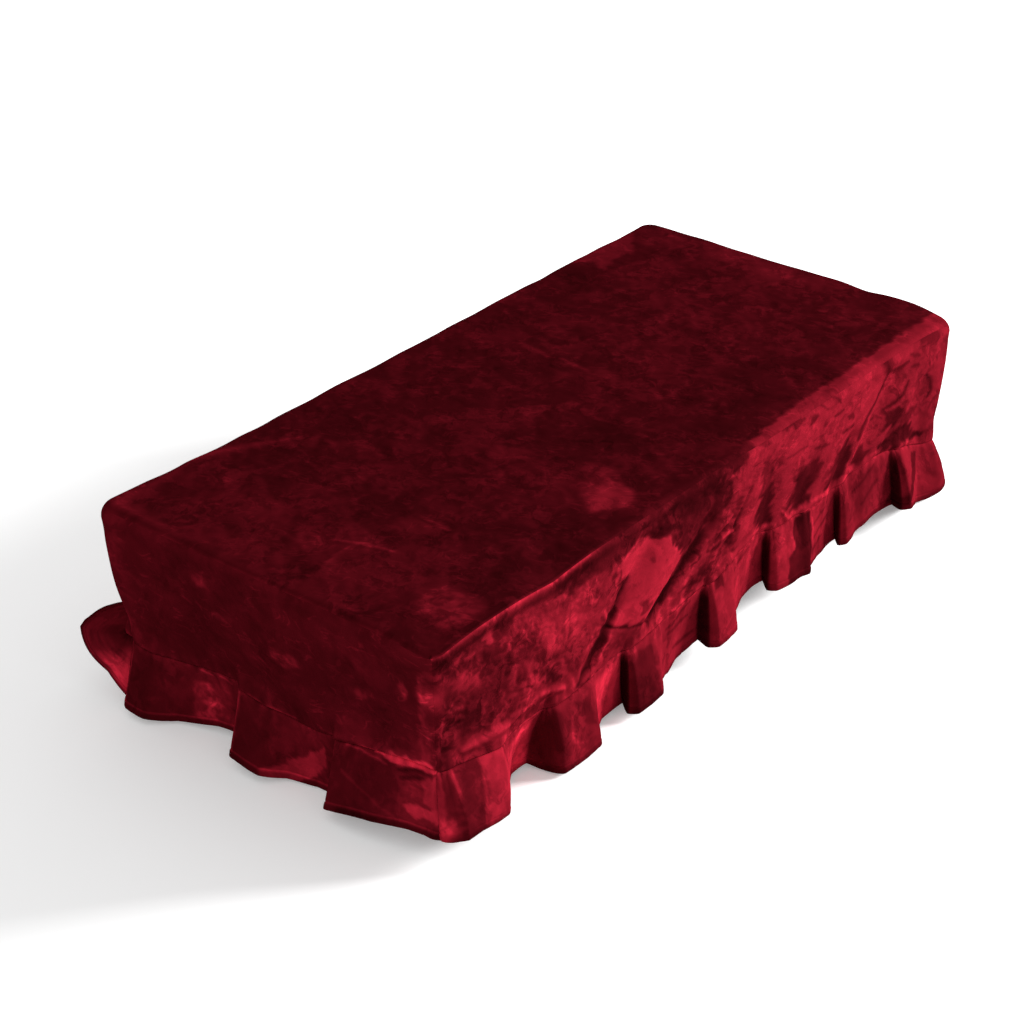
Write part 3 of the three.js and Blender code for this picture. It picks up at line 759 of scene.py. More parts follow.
@dataclass(frozen=True)
class CoverPlan:
    """The hanging shape of the cover in mm, the same as its solids have."""

    length: float = 764.0
    width: float = 372.0
    corner_radius: float = 15.0
    edge_roll: float = 7.0
    wall_lean: float = 13.0
    wall_belly: float = 2.5
    cloth: float = 2.0
    seam_gap: float = 0.1
    fold_fade: float = 0.2
    slumps: tuple[Slump, ...] = (
        Slump(-382, -186, 6, 70), Slump(-235, -186, 4, 70), Slump(382, -186, 8, 80), Slump(382, -90, 3, 90))
    shoulder: float = 4.0
    shoulder_wide: float = 36.0
    shoulder_run: Spot = (-20.0, 90.0)
    back_rise: float = 2.5
    back_run: Spot = (-40.0, 220.0)

    @property
    def run_long(self) -> float:
        """Straight half run of the long walls at mid cloth."""
        return self.length / 2 - self.cloth / 2 - self.corner_radius

    @property
    def run_short(self) -> float:
        """Straight half run of the short walls at mid cloth."""
        return self.width / 2 - self.cloth / 2 - self.corner_radius

    @property
    def turn(self) -> float:
        """Length of one corner's arc."""
        return math.pi / 2 * self.corner_radius

    @property
    def quarter(self) -> float:
        """Way from the middle of one side to the middle of the next."""
        return self.run_long + self.turn + self.run_short

    @property
    def lap(self) -> float:
        """Way once round the cover."""
        return 4 * self.quarter

    @property
    def roll_length(self) -> float:
        """Length of the rolled edge from the flat top to the wall."""
        return self.edge_roll * math.pi / 2

    def run_of(self, side: Side) -> float:
        """Straight half run of one side."""
        return self.run_long if side in (F, B) else self.run_short

    def middle_of(self, side: Side) -> float:
        """Place of the middle of one side on the walk round."""
        return side.value * self.quarter

    def along_side(self, side: Side, place: Array) -> Array:
        """Distance of places from the middle of a side, the short way round."""
        return np.mod(place - self.middle_of(side) + self.lap / 2, self.lap) - self.lap / 2

    def outline(self, place: Array, offset: Array | float) -> tuple[Array, Array, Array, Array]:
        """Spots on the outline of the walls, moved out by an offset.

        Args:
            place: Distance walked round from the middle of the front.
            offset: Distance out from the outline.

        Returns:
            The x and y of each spot, and the x and y of the outward direction there.
        """
        half = self.lap / 2
        halves = np.floor(place / half + 0.5)
        local = place - halves * half
        turned = np.where(np.mod(halves, 2) == 0, 1.0, -1.0)
        sign = turned * np.where(local < 0, -1.0, 1.0)
        walked = np.abs(local)
        angle = np.clip(walked - self.run_long, 0, self.turn) / self.corner_radius
        forward = np.minimum(walked, self.run_long)
        sideways = np.maximum(walked - self.run_long - self.turn, 0)
        out_x, out_y = np.sin(angle), -np.cos(angle)
        radius = self.corner_radius + offset
        x = sign * (forward + out_x * radius)
        y = turned * (sideways - self.run_short + out_y * radius)
        return x, y, sign * out_x, turned * out_y

    def seam_drop(self, place: Array) -> Array:
        """Drop of the flounce seam below the seat.

        Args:
            place: Distance walked round from the middle of the front.

        Returns:
            Drop of the seam in one smooth closed line through its table.
        """
        rows = sorted(((self.middle_of(side) + at) % self.lap, drop)
                      for side, line in SEAM_DROPS.items() for at, drop in line)
        places, drops = np.array(rows, float).T
        here = np.mod(place, self.lap)
        after = np.searchsorted(places, here, side="right")
        ids = [(after + k) % len(rows) for k in (-2, -1, 0, 1)]
        gap = [np.mod(places[ids[k + 1]] - places[ids[k]], self.lap) for k in range(3)]
        d = [drops[k] for k in ids]
        share = np.mod(here - places[ids[1]], self.lap) / gap[1]
        leave = (d[2] - d[0]) / (gap[0] + gap[1]) * gap[1]
        arrive = (d[3] - d[1]) / (gap[1] + gap[2]) * gap[1]
        back = 1 - share
        ends = d[1] * back * back * (1 + 2 * share) + d[2] * share * share * (1 + 2 * back)
        return ends + leave * share * back * back - arrive * back * share * share

    def slump(self, x: Array, y: Array) -> Array:
        """How far the top lets the cloth down at its corners and front edge, and holds it up at the back.

        Args:
            x: X of the spots.
            y: Y of the spots.

        Returns:
            Distance down at each spot.
        """
        edge = np.clip(1 - (y + self.width / 2) / self.shoulder_wide, 0, 1) ** 2
        shoulder = self.shoulder * edge * ease((x - self.shoulder_run[0]) / self.shoulder_run[1])
        held = self.back_rise * ease((y - self.back_run[0]) / self.back_run[1])
        return sum(slump.drop(x, y) for slump in self.slumps) + shoulder - held

    def lid(self, across: Array, along: Array) -> Array:
        """Mid cloth of the top with its rolled edge.

        Args:
            across: Unrolled distance from the middle along X.
            along: Unrolled distance from the middle along Y.

        Returns:
            Points of the cloth.
        """
        over_x = np.maximum(np.abs(across) - self.run_long, 0)
        over_y = np.maximum(np.abs(along) - self.run_short, 0)
        wide, narrow = np.maximum(over_x, over_y), np.minimum(over_x, over_y)
        part = math.pi / 4 * narrow / np.maximum(wide, 1e-9)
        angle = np.where(over_x >= over_y, part, math.pi / 2 - part)
        flat = self.corner_radius - self.edge_roll
        roll = np.maximum(wide - flat, 0) / self.edge_roll
        reach = np.minimum(wide, flat) + self.edge_roll * np.sin(roll)
        x = np.sign(across) * (np.minimum(np.abs(across), self.run_long) + reach * np.cos(angle))
        y = np.sign(along) * (np.minimum(np.abs(along), self.run_short) + reach * np.sin(angle))
        z = self.cloth / 2 - self.edge_roll * (1 - np.cos(roll)) - self.slump(x, y)
        return np.stack([x, y, z], -1)

    def wall(self, place: Array, run: Array) -> Array:
        """Mid cloth of the rolled edge and the walls.

        Args:
            place: Distance walked round from the middle of the front.
            run: 0 to 1 over the rolled edge, 1 to 2 down to the flounce seam.

        Returns:
            Points of the cloth.
        """
        roll = np.clip(run, 0, 1) * (math.pi / 2)
        down = np.clip(run - 1, 0, 1)
        foot = self.cloth / 2 - self.edge_roll
        z = mix(foot + self.edge_roll * np.cos(roll), -self.seam_drop(place), down)
        belly = self.wall_belly * np.sin(math.pi * down)
        rise = ease(down / self.fold_fade) * (self.fold_rise(place, -z) + belly)
        x, y, _, _ = self.outline(place, self.edge_roll * (np.sin(roll) - 1) + rise - self.wall_lean * down)
        return np.stack([x, y, z - self.slump(x, y) * (1 - down) ** 2], -1)

    def fold_rise(self, place: Array, drop: Array) -> Array:
        """How far troughs, ridges and creases push spots of the walls out.

        Args:
            place: Distance walked round from the middle of the front.
            drop: Depth of each spot below the seat.

        Returns:
            Distance out at each spot.
        """
        rise = 0.0
        for side in Side:
            along = self.along_side(side, place)
            for fold in DRAG_FOLDS[side] + WALL_CREASES.get(side, ()):
                rise = rise + fold.rise * fold.share(along, drop)
        return rise

    def seam_offset(self, place: Array) -> Array:
        """How far the foot of the walls stands out from the outline."""
        return self.fold_rise(place, self.seam_drop(place)) - self.wall_lean


def smooth_line(points: Array, shares: Array) -> Array:
    """A smooth open line through points, rounder where they are far apart.

    Args:
        points: Points of the line, one a row.
        shares: Shares of the line's points at which it is read.

    Returns:
        Spots on the line.
    """
    padded = np.concatenate([[2 * points[0] - points[1]], points, [2 * points[-1] - points[-2]]])
    where = np.clip(shares, 0, 1) * (len(points) - 1)
    span = np.minimum(where.astype(int), len(points) - 2)
    share = (where - span)[..., None]
    p = [padded[span + k] for k in range(4)]
    t = [np.maximum(np.sqrt(np.linalg.norm(p[k + 1] - p[k], axis=-1, keepdims=True)), 1e-4) for k in range(3)]
    leave = ((p[1] - p[0]) / t[0] - (p[2] - p[0]) / (t[0] + t[1]) + (p[2] - p[1]) / t[1]) * t[1]
    arrive = ((p[2] - p[1]) / t[1] - (p[3] - p[1]) / (t[1] + t[2]) + (p[3] - p[2]) / t[2]) * t[1]
    cubic = 2 * p[1] - 2 * p[2] + leave + arrive
    square = -3 * p[1] + 3 * p[2] - 2 * leave - arrive
    return ((cubic * share + square) * share + leave) * share + p[1]


def folded_line(points: Array, shares: Array, crisp: float) -> Array:
    """A line through points that is part smooth and part straight from point to point.

    Args:
        points: Points of the line, one a row.
        shares: Shares of the line's points at which it is read.
        crisp: 0 for a smooth line, 1 for a straight one.

    Returns:
        Spots on the line.
    """
    steps = np.linspace(0, 1, len(points))
    straight = np.stack([np.interp(shares, steps, column) for column in points.T], -1)
    return mix(smooth_line(points, shares), straight, crisp)


def normals_of(grid: Array) -> Array:
    """Outward directions of a grid of points whose columns run right and whose rows run down."""
    facing = np.cross(np.gradient(grid, axis=0), np.gradient(grid, axis=1))
    return facing / np.maximum(np.linalg.norm(facing, axis=-1, keepdims=True), 1e-12)


def faces_by(part: Array) -> Array:
    """Share by which cloth faces a way, 1 from about half a right angle on."""
    half_turned = 0.7
    return np.clip(part / half_turned, 0, 1)


@dataclass(frozen=True)
class Field:
    """An uneven field on the cloth: bumps a metre, finer layers, bending, half the span from dark to light."""

    scale: float
    detail: float
    bend: float
    crisp: float
    roughness: float = 0.6


BLOTCHES = Field(24.0, 3.0, 0.5, 0.16)
CLUSTERS = Field(31.0, 1.0, 0.3, 0.14)
CRUMBS = Field(72.0, 2.0, 0.8, 0.09)
SPECKS = Field(165.0, 2.0, 0.6, 0.1)
GRAIN = Field(1300.0, 1.0, 0.0, 0.3)
VEINS = Field(46.0, 2.0, 1.2, 0.25)
BREAKS = Field(52.0, 2.0, 0.4, 0.08)


@dataclass(frozen=True)
class NodeBench:
    """Places nodes in a material's tree and joins them."""

    tree: bpy.types.NodeTree

    def add(self, kind: str, inputs: dict[str | int, object] | None = None, **settings: object) -> bpy.types.Node:
        """Adds a node.

        Args:
            kind: Blender's name of the node type.
            inputs: Socket values, or output sockets to join to them.
            **settings: Properties of the node.

        Returns:
            The new node.
        """
        node = self.tree.nodes.new(kind)
        for name, value in settings.items():
            setattr(node, name, value)
        for key, value in (inputs or {}).items():
            if isinstance(value, Socket):
                self.tree.links.new(value, node.inputs[key])
            else:
                node.inputs[key].default_value = value
        return node

    def math(self, operation: str, first: object, second: object = 0.0, clamp: bool = False) -> Socket:
        """Adds a sum of two values or output sockets, kept from 0 to 1 if it is clamped."""
        return self.add("ShaderNodeMath", {0: first, 1: second}, operation=operation, use_clamp=clamp).outputs[0]

    def noise(self, vector: Socket, field: Field) -> Socket:
        """Adds an uneven field with fairly crisp borders.

        Args:
            vector: Where it is read.
            field: Its sizes.

        Returns:
            The output socket, from -0.5 to 0.5.
        """
        node = self.add("ShaderNodeTexNoise", {
            "Vector": vector, "Scale": field.scale, "Detail": field.detail, "Roughness": field.roughness,
            "Distortion": field.bend})
        span = {"Value": node.outputs["Fac"], "From Min": 0.5 - field.crisp, "From Max": 0.5 + field.crisp,
                "To Min": -0.5, "To Max": 0.5}
        return self.add("ShaderNodeMapRange", span, interpolation_type="SMOOTHSTEP").outputs[0]


@dataclass(frozen=True)
class VelvetFinish:
    """Crushed velvet on one piece: how much its blotches, crumbs, specks, bright lines and grain show.

    The lines run at an angle in degrees, stretched along it. The red goes from its darkest by a spread for each
    step of pile and painted light, and the green and blue are a share of it.
    """

    name: str
    blotch: float = 0.14
    crumbs: float = 0.22
    specks: float = 0.08
    lines: float = 0.0
    line_run: float = 0.0
    line_stretch: float = 1.0
    line_wide: float = 0.1
    line_often: float = 0.1
    clustered: float = 0.62
    grain: float = 0.025
    sheen: float = 0.02
    sheen_tint: tuple[float, float, float, float] = (0.8, 0.015, 0.045, 1.0)
    roughness: float = 0.75
    relief: float = 0.3
    relief_depth: float = 0.0012
    speck_relief: float = 0.4
    darkest: float = 0.014
    spread: float = 20.0
    lightest: float = 1.3
    green: float = 0.031
    blue: float = 0.071
    floor: float = 0.0004
    stops: tuple[float, ...] = (0.0, 1.0, 0.2, 0.4, 0.6, 0.8)

    def colour(self, pile: float) -> tuple[float, float, float, float]:
        """Colour of the pile, from 0 where it lies darkest to 1 where it lies light."""
        red = self.darkest * self.spread**pile
        return red, self.green * red + self.floor, self.blue * red + self.floor, 1.0

    def _veins(self, bench: NodeBench, cloth: Socket) -> Socket:
        """Adds the broken bright lines.

        Args:
            bench: Where the nodes are placed.
            cloth: The cloth map.

        Returns:
            The output socket, 1 on a line.
        """
        turned = {"Vector": cloth, "Rotation": (0.0, 0.0, math.radians(self.line_run)),
                  "Scale": (self.line_stretch, 1.0, 1.0)}
        drawn = bench.add("ShaderNodeMapping", turned, vector_type="TEXTURE").outputs[0]
        off_line = bench.math("ABSOLUTE", bench.noise(drawn, VEINS))
        span = {"Value": off_line, "From Min": self.line_wide, "From Max": 0.0}
        line = bench.add("ShaderNodeMapRange", span).outputs[0]
        broken = bench.math("ADD", bench.noise(cloth, BREAKS), self.line_often, clamp=True)
        return bench.math("MULTIPLY", line, broken)

    def dress(self) -> bpy.types.Material:
        """Builds the material.

        Returns:
            The finished material.
        """
        material = bpy.data.materials.new(self.name)
        material.use_nodes = True
        material.node_tree.nodes.clear()
        bench = NodeBench(material.node_tree)
        cloth = bench.add("ShaderNodeUVMap", uv_map="cloth").outputs[0]
        often = bench.math("ADD", bench.noise(cloth, CLUSTERS), self.clustered)
        crumbs = bench.math("MULTIPLY", bench.noise(cloth, CRUMBS), often)
        specks = bench.math("MULTIPLY", bench.noise(cloth, SPECKS), often)
        # The attribute holds the lie of the pile together with painted light and shade.
        pile_and_painted_light = bench.add("ShaderNodeAttribute", attribute_name="pile_and_painted_light").outputs["Fac"]
        crush = bench.add("ShaderNodeAttribute", attribute_name="crush").outputs["Fac"]

        rough = bench.math("MULTIPLY", crumbs, self.crumbs)
        shown = ((specks, self.specks), (bench.noise(cloth, BLOTCHES), self.blotch),
                 (self._veins(bench, cloth), self.lines))
        for part, share in shown:
            rough = bench.math("ADD", rough, bench.math("MULTIPLY", part, share))
        pile = bench.math("ADD", pile_and_painted_light, bench.math("MULTIPLY", rough, crush))
        pile = bench.math("ADD", pile, bench.math("MULTIPLY", bench.noise(cloth, GRAIN), self.grain))
        ramp = bench.add("ShaderNodeValToRGB", {"Fac": bench.math("DIVIDE", pile, self.lightest)})
        elements = ramp.color_ramp.elements
        for index, place in enumerate(self.stops):
            stop = elements[index] if index < 2 else elements.new(place)
            stop.color = self.colour(place * self.lightest)

        height = bench.math("ADD", crumbs, bench.math("MULTIPLY", specks, self.speck_relief))
        height = bench.math("MULTIPLY", height, crush)
        bump = bench.add("ShaderNodeBump", {
            "Height": height, "Strength": self.relief, "Distance": self.relief_depth})
        coat = bench.add("ShaderNodeBsdfPrincipled", {
            "Base Color": ramp.outputs[0], "Roughness": self.roughness, "Normal": bump.outputs[0],
            "Specular IOR Level": 0.0, "Sheen Weight": self.sheen, "Sheen Roughness": 0.4,
            "Sheen Tint": self.sheen_tint})
        bench.add("ShaderNodeOutputMaterial", {"Surface": coat.outputs[0]})
        return material


# Lit and shaded copies of one velvet: the texture is painted weaker on the shaded top and end than on the lit
# front.
DARK = VelvetFinish("velvet_top_pile", blotch=0.16, crumbs=0.13, specks=0.05, lines=0.22, line_run=-63.0,
                    line_stretch=2.2, relief=0.15)
LIT = VelvetFinish("velvet_front_pile", lines=0.15, line_run=25.0, line_stretch=2.2)
SHADED = VelvetFinish("velvet_end_pile", crumbs=0.08, specks=0.02, lines=0.26, line_run=-6.0, line_stretch=2.2,
                      relief=0.1)
FRILL = VelvetFinish("velvet_flounce_pile", crumbs=0.1, specks=0.03)


@dataclass(frozen=True)
class Cloth:
    """Turns a grid of mid cloth into a closed thin sheet with its cloth map, and the lie of its pile with painted
    light and shade.

    Its rim is sharp, apart from a soft foot. A row and a column of its outer face can be sharp too.
    """

    name: str
    grid: Array
    normals: Array
    thick: Array | float
    flat_map: Array
    pile_and_painted_light: Array
    crush: Array
    soft_foot: bool = False
    sharp_row: int = 0
    sharp_column: int = 0

    def _sharp_lines(self, outer: Array, rim: Array) -> Array:
        """Flags the points of each sharp line with a bit of its own.

        Args:
            outer: Point numbers of the outer face.
            rim: Point numbers round it.

        Returns:
            Bits of each point. An edge is sharp where both of its ends share a bit.
        """
        rim_bit, inner_bit, row_bit, column_bit = 1, 2, 4, 8
        hard = np.zeros(2 * outer.size, dtype=np.int8)
        hard[rim], hard[rim + outer.size] = rim_bit, inner_bit
        if self.soft_foot:
            hard[outer[-1]] = hard[outer[-1] + outer.size] = 0
        if self.sharp_row:
            hard[outer[self.sharp_row]] |= row_bit
        if self.sharp_column:
            hard[outer[:, self.sharp_column]] |= column_bit
        return hard

    def build(self, material: bpy.types.Material) -> bpy.types.Object:
        """Makes the object.

        Args:
            material: Finish of the sheet.

        Returns:
            The new object, linked to the scene.
        """
        rows, columns = self.grid.shape[:2]
        half = self.normals * (np.broadcast_to(self.thick, (rows, columns)) / 2)[..., None]
        points = np.concatenate([(self.grid + half).reshape(-1, 3), (self.grid - half).reshape(-1, 3)]) * MM
        outer = np.arange(rows * columns).reshape(rows, columns)
        inner = outer + outer.size
        rim = np.concatenate([outer[0, :], outer[1:, -1], outer[-1, -2::-1], outer[-2:0:-1, 0]])
        rim_in = rim + outer.size
        quads = np.concatenate([
            np.stack([outer[:-1, :-1], outer[1:, :-1], outer[1:, 1:], outer[:-1, 1:]], -1).reshape(-1, 4),
            np.stack([inner[:-1, :-1], inner[:-1, 1:], inner[1:, 1:], inner[1:, :-1]], -1).reshape(-1, 4),
            np.stack([rim, np.roll(rim, -1), np.roll(rim_in, -1), rim_in], -1),
        ])
        mesh = bpy.data.meshes.new(self.name)
        mesh.vertices.add(len(points))
        mesh.vertices.foreach_set("co", points.astype(np.float32).ravel())
        mesh.loops.add(quads.size)
        mesh.loops.foreach_set("vertex_index", quads.astype(np.int32).ravel())
        mesh.polygons.add(len(quads))
        mesh.polygons.foreach_set("loop_start", np.arange(0, quads.size, 4, dtype=np.int32))
        mesh.update(calc_edges=True)
        mesh.polygons.foreach_set("use_smooth", np.ones(len(quads), dtype=bool))
        ends = np.empty(len(mesh.edges) * 2, dtype=np.int32)
        mesh.edges.foreach_get("vertices", ends)
        bits = self._sharp_lines(outer, rim)[ends.reshape(-1, 2)]
        sharp = mesh.attributes.new("sharp_edge", "BOOLEAN", "EDGE")
        sharp.data.foreach_set("value", (bits[:, 0] & bits[:, 1]) > 0)
        flat = np.tile(self.flat_map.reshape(-1, 2), (2, 1)) * MM
        mesh.uv_layers.new(name="cloth").uv.foreach_set("vector", flat[quads.ravel()].astype(np.float32).ravel())
        for label, values in (("pile_and_painted_light", self.pile_and_painted_light), ("crush", self.crush)):
            layer = mesh.attributes.new(label, "FLOAT", "POINT")
            layer.data.foreach_set("value", np.tile(values.ravel(), 2).astype(np.float32))
        mesh.materials.append(material)
        mesh.validate()
        piece = bpy.data.objects.new(self.name, mesh)
        bpy.context.scene.collection.objects.link(piece)
        return piece


def settle(piece: bpy.types.Object, node: str, flat: Spot) -> None:
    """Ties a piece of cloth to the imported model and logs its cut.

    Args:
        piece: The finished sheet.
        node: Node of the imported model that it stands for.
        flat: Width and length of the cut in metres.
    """
    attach(piece, "root")
    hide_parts(node)
    log.info("%s: %d faces, cut %.3f x %.3f m", piece.name, len(piece.data.polygons), *flat)


@dataclass(frozen=True)
class Edges:
    """What the cloth does along the edges and corners of the cover, in mm.

    The top edge waves a little. A ridge runs along the left of the front edge, with a painted highlight on it and
    a painted shade line under it. The back left corner stands out. Where the left wall meets the front, both have
    one lie of pile with a light spot.
    """

    wave_high: float = 1.6
    wave_long: float = 46.0
    wave_skew: float = 0.6
    wave_reach: float = 16.0
    ridge_run: Spot = (-120.0, 90.0)
    ridge_wide: float = 1.8
    # Painted highlight on the front ridge, and below it the painted shade line.
    ridge_highlight: float = 0.34
    ridge_highlight_wide: Spot = (1.4, 2.0)
    shade_nap: float = 0.24
    shade_down: float = 6.5
    shade_wide: float = 3.8
    bulge_out: float = 4.5
    bulge_at: Spot = (-382.0, 186.0)
    bulge_reach: float = 75.0
    corner_nap: float = 0.57
    corner_change: float = 0.3
    corner_wave: float = 13.0
    corner_line: float = 0.4
    spot_nap: float = 0.3
    spot_down: float = 40.0
    spot_half: float = 9.0

    def wave(self, x: Array, y: Array, distance: Array) -> Array:
        """Slight unevenness of the top edge, by the distance of the cloth from its seam."""
        along, across = (x + self.wave_skew * y) / self.wave_long, (y - self.wave_skew * x) / self.wave_long
        return self.wave_high * Ripple(Seed.EDGE).at(along, across) * hump(distance, self.wave_reach)

    def ridge(self, along: Array, distance: Array, wide: float) -> Array:
        """How far cloth lies on the ridge, by its distance from the ridge."""
        return hump(distance, wide) * ease((self.ridge_run[0] - along) / self.ridge_run[1])

    def ridge_painted_light(self, along: Array, drop: Array) -> Array:
        """Painted highlight on the ridge and painted shade line under it, by the distance down the front wall."""
        shade = self.shade_nap * self.ridge(along, drop - self.shade_down, self.shade_wide)
        return self.ridge_highlight * self.ridge(along, drop, self.ridge_highlight_wide[1]) - shade

    def bulge(self, x: Array, y: Array) -> Array:
        """How far the back left corner stands out."""
        return self.bulge_out * hump(np.hypot(x - self.bulge_at[0], y - self.bulge_at[1]), self.bulge_reach)

    def corner_pile(self, drop: Array) -> Array:
        """Nap where the left wall meets the front, by the depth below the seat."""
        change = Ripple(Seed.CORNER).at(drop / self.corner_wave, np.full(drop.shape, self.corner_line))
        return (self.corner_nap + self.corner_change * change
                + self.spot_nap * hump(drop - self.spot_down, self.spot_half))


@dataclass(frozen=True)
class Seam:
    """The gathered seam between a wall and its flounce, in mm.

    The cloth turns in to it, runs on behind it as an allowance and is puckered beside it. Beside it the cloth is
    painted unevenly lighter, painted light that lifts the seam's shade.
    """

    steps: tuple[float, ...] = (0.0, 0.45, 1.0, 1.7, 2.5, 3.4, 4.5, 6.0)
    turn: float = 2.0
    deep: float = 0.6
    allowance: float = 3.0
    # Painted light beside the seam, lifting its shade.
    pile_and_painted_light: float = 0.16
    painted_light_change: float = 0.45
    painted_light_wave: Spot = (8.0, 30.0)
    painted_light_reach: float = 4.0
    pucker_start: float = 1.0
    pucker_fade: float = 4.0

    def turned_in(self, distance: Array) -> Array:
        """How far cloth rounds in towards the seam, by its distance from it."""
        share = np.clip(1 - distance / self.turn, 0, 1)
        return self.deep * (1 - np.sqrt(np.maximum(1 - share**2, 0)))

    def lift(self, distance: Array) -> Array:
        """How far the middle of the cloth keeps off the seam, by its distance from it."""
        return np.clip(1 - distance / self.turn, 0, 1) ** 2

    def pile(self, ripple: Ripple, along: Array, down: Array, distance: Array) -> Array:
        """Uneven painted light beside the seam, lifting its shade."""
        change = self.painted_light_change * ripple.sized(along, down, self.painted_light_wave)
        return (self.pile_and_painted_light + change) * np.exp(-distance / self.painted_light_reach)


SEAM, EDGES = Seam(), Edges()


@dataclass(frozen=True)
class TopPanel:
    """The flat top of the cover with its rolled edge."""

    plan: CoverPlan
    finish: VelvetFinish
    step: float = 2.65
    edge_step: float = 1.0
    # Base lie of the pile, painted darker for the top in low light.
    base_with_painted_light: float = 0.28
    # Painted light on the rolled edges facing left and back.
    border: float = 0.26
    fringe: float = 4.0
    calm: float = 25.0
    bulge_reach: float = 12.0
    probe: float = 0.2

    def _lines(self, run: float) -> Array:
        """Grid lines across one direction, closer together at the rolled edges.

        Args:
            run: Straight half run in that direction.

        Returns:
            Unrolled distances from the middle.
        """
        plan = self.plan
        edge = run + plan.corner_radius - plan.edge_roll + plan.roll_length / 2 - plan.seam_gap / 2
        inside = np.linspace(-run, run, int(round(2 * run / self.step)) + 1)
        outside = np.linspace(run, edge, int(round((edge - run) / self.edge_step)) + 1)[1:]
        return np.concatenate([-outside[::-1], inside, outside])

    def build(self) -> bpy.types.Object:
        """Makes and settles the panel.

        Returns:
            The finished panel.
        """
        plan, probe = self.plan, self.probe
        xs, ys = self._lines(plan.run_long), self._lines(plan.run_short)
        x, y = np.meshgrid(xs, ys[::-1])
        grid = plan.lid(x, y)
        right = plan.lid(x + probe, y) - plan.lid(x - probe, y)
        up = plan.lid(x, y + probe) - plan.lid(x, y - probe)
        normals = np.cross(right, up)
        normals /= np.linalg.norm(normals, axis=-1, keepdims=True)
        gap, front_gap = np.minimum(xs[-1] - np.abs(x), ys[-1] - np.abs(y)), ys[-1] + y

        pile_and_light_marks, crush = Brush(Ripple(Seed.TOP_MARKS), self.fringe).over(x, y, TOP_MARKS)
        relief = crush * TOP_CRUSH.relief(Ripple(Seed.TOP), x, y) * ease(gap / self.calm)
        relief = relief + EDGES.wave(grid[..., 0], grid[..., 1], gap)
        relief = relief + EDGES.ridge(x, front_gap, EDGES.ridge_wide)
        relief = relief + EDGES.bulge(grid[..., 0], grid[..., 1]) * hump(gap, self.bulge_reach)
        for mark in TOP_MARKS:
            if isinstance(mark, Fold):
                relief = relief + mark.rise * mark.share(x, y)
        cloth = grid + normals * relief[..., None]

        # Painted shading of the crumples facing the lamp, on a base painted darker for the top.
        pile_and_painted_light = self.base_with_painted_light + pile_and_light_marks + crush * TOP_CRUSH.pile_and_painted_light(normals, normals_of(cloth))
        # A painted highlight on the front ridge, and painted light on the rolled edges facing left and back.
        pile_and_painted_light = pile_and_painted_light + EDGES.ridge_highlight * EDGES.ridge(x, front_gap, EDGES.ridge_highlight_wide[0])
        pile_and_painted_light = pile_and_painted_light + self.border * faces_by(np.maximum(-normals[..., 0], normals[..., 1]))
        sheet = Cloth("velvet_top", cloth, normals, plan.cloth, np.stack([x, y], -1), pile_and_painted_light, crush)
        piece = sheet.build(self.finish.dress())
        settle(piece, "top_panel", (2 * xs[-1] * MM, 2 * ys[-1] * MM))
        return piece


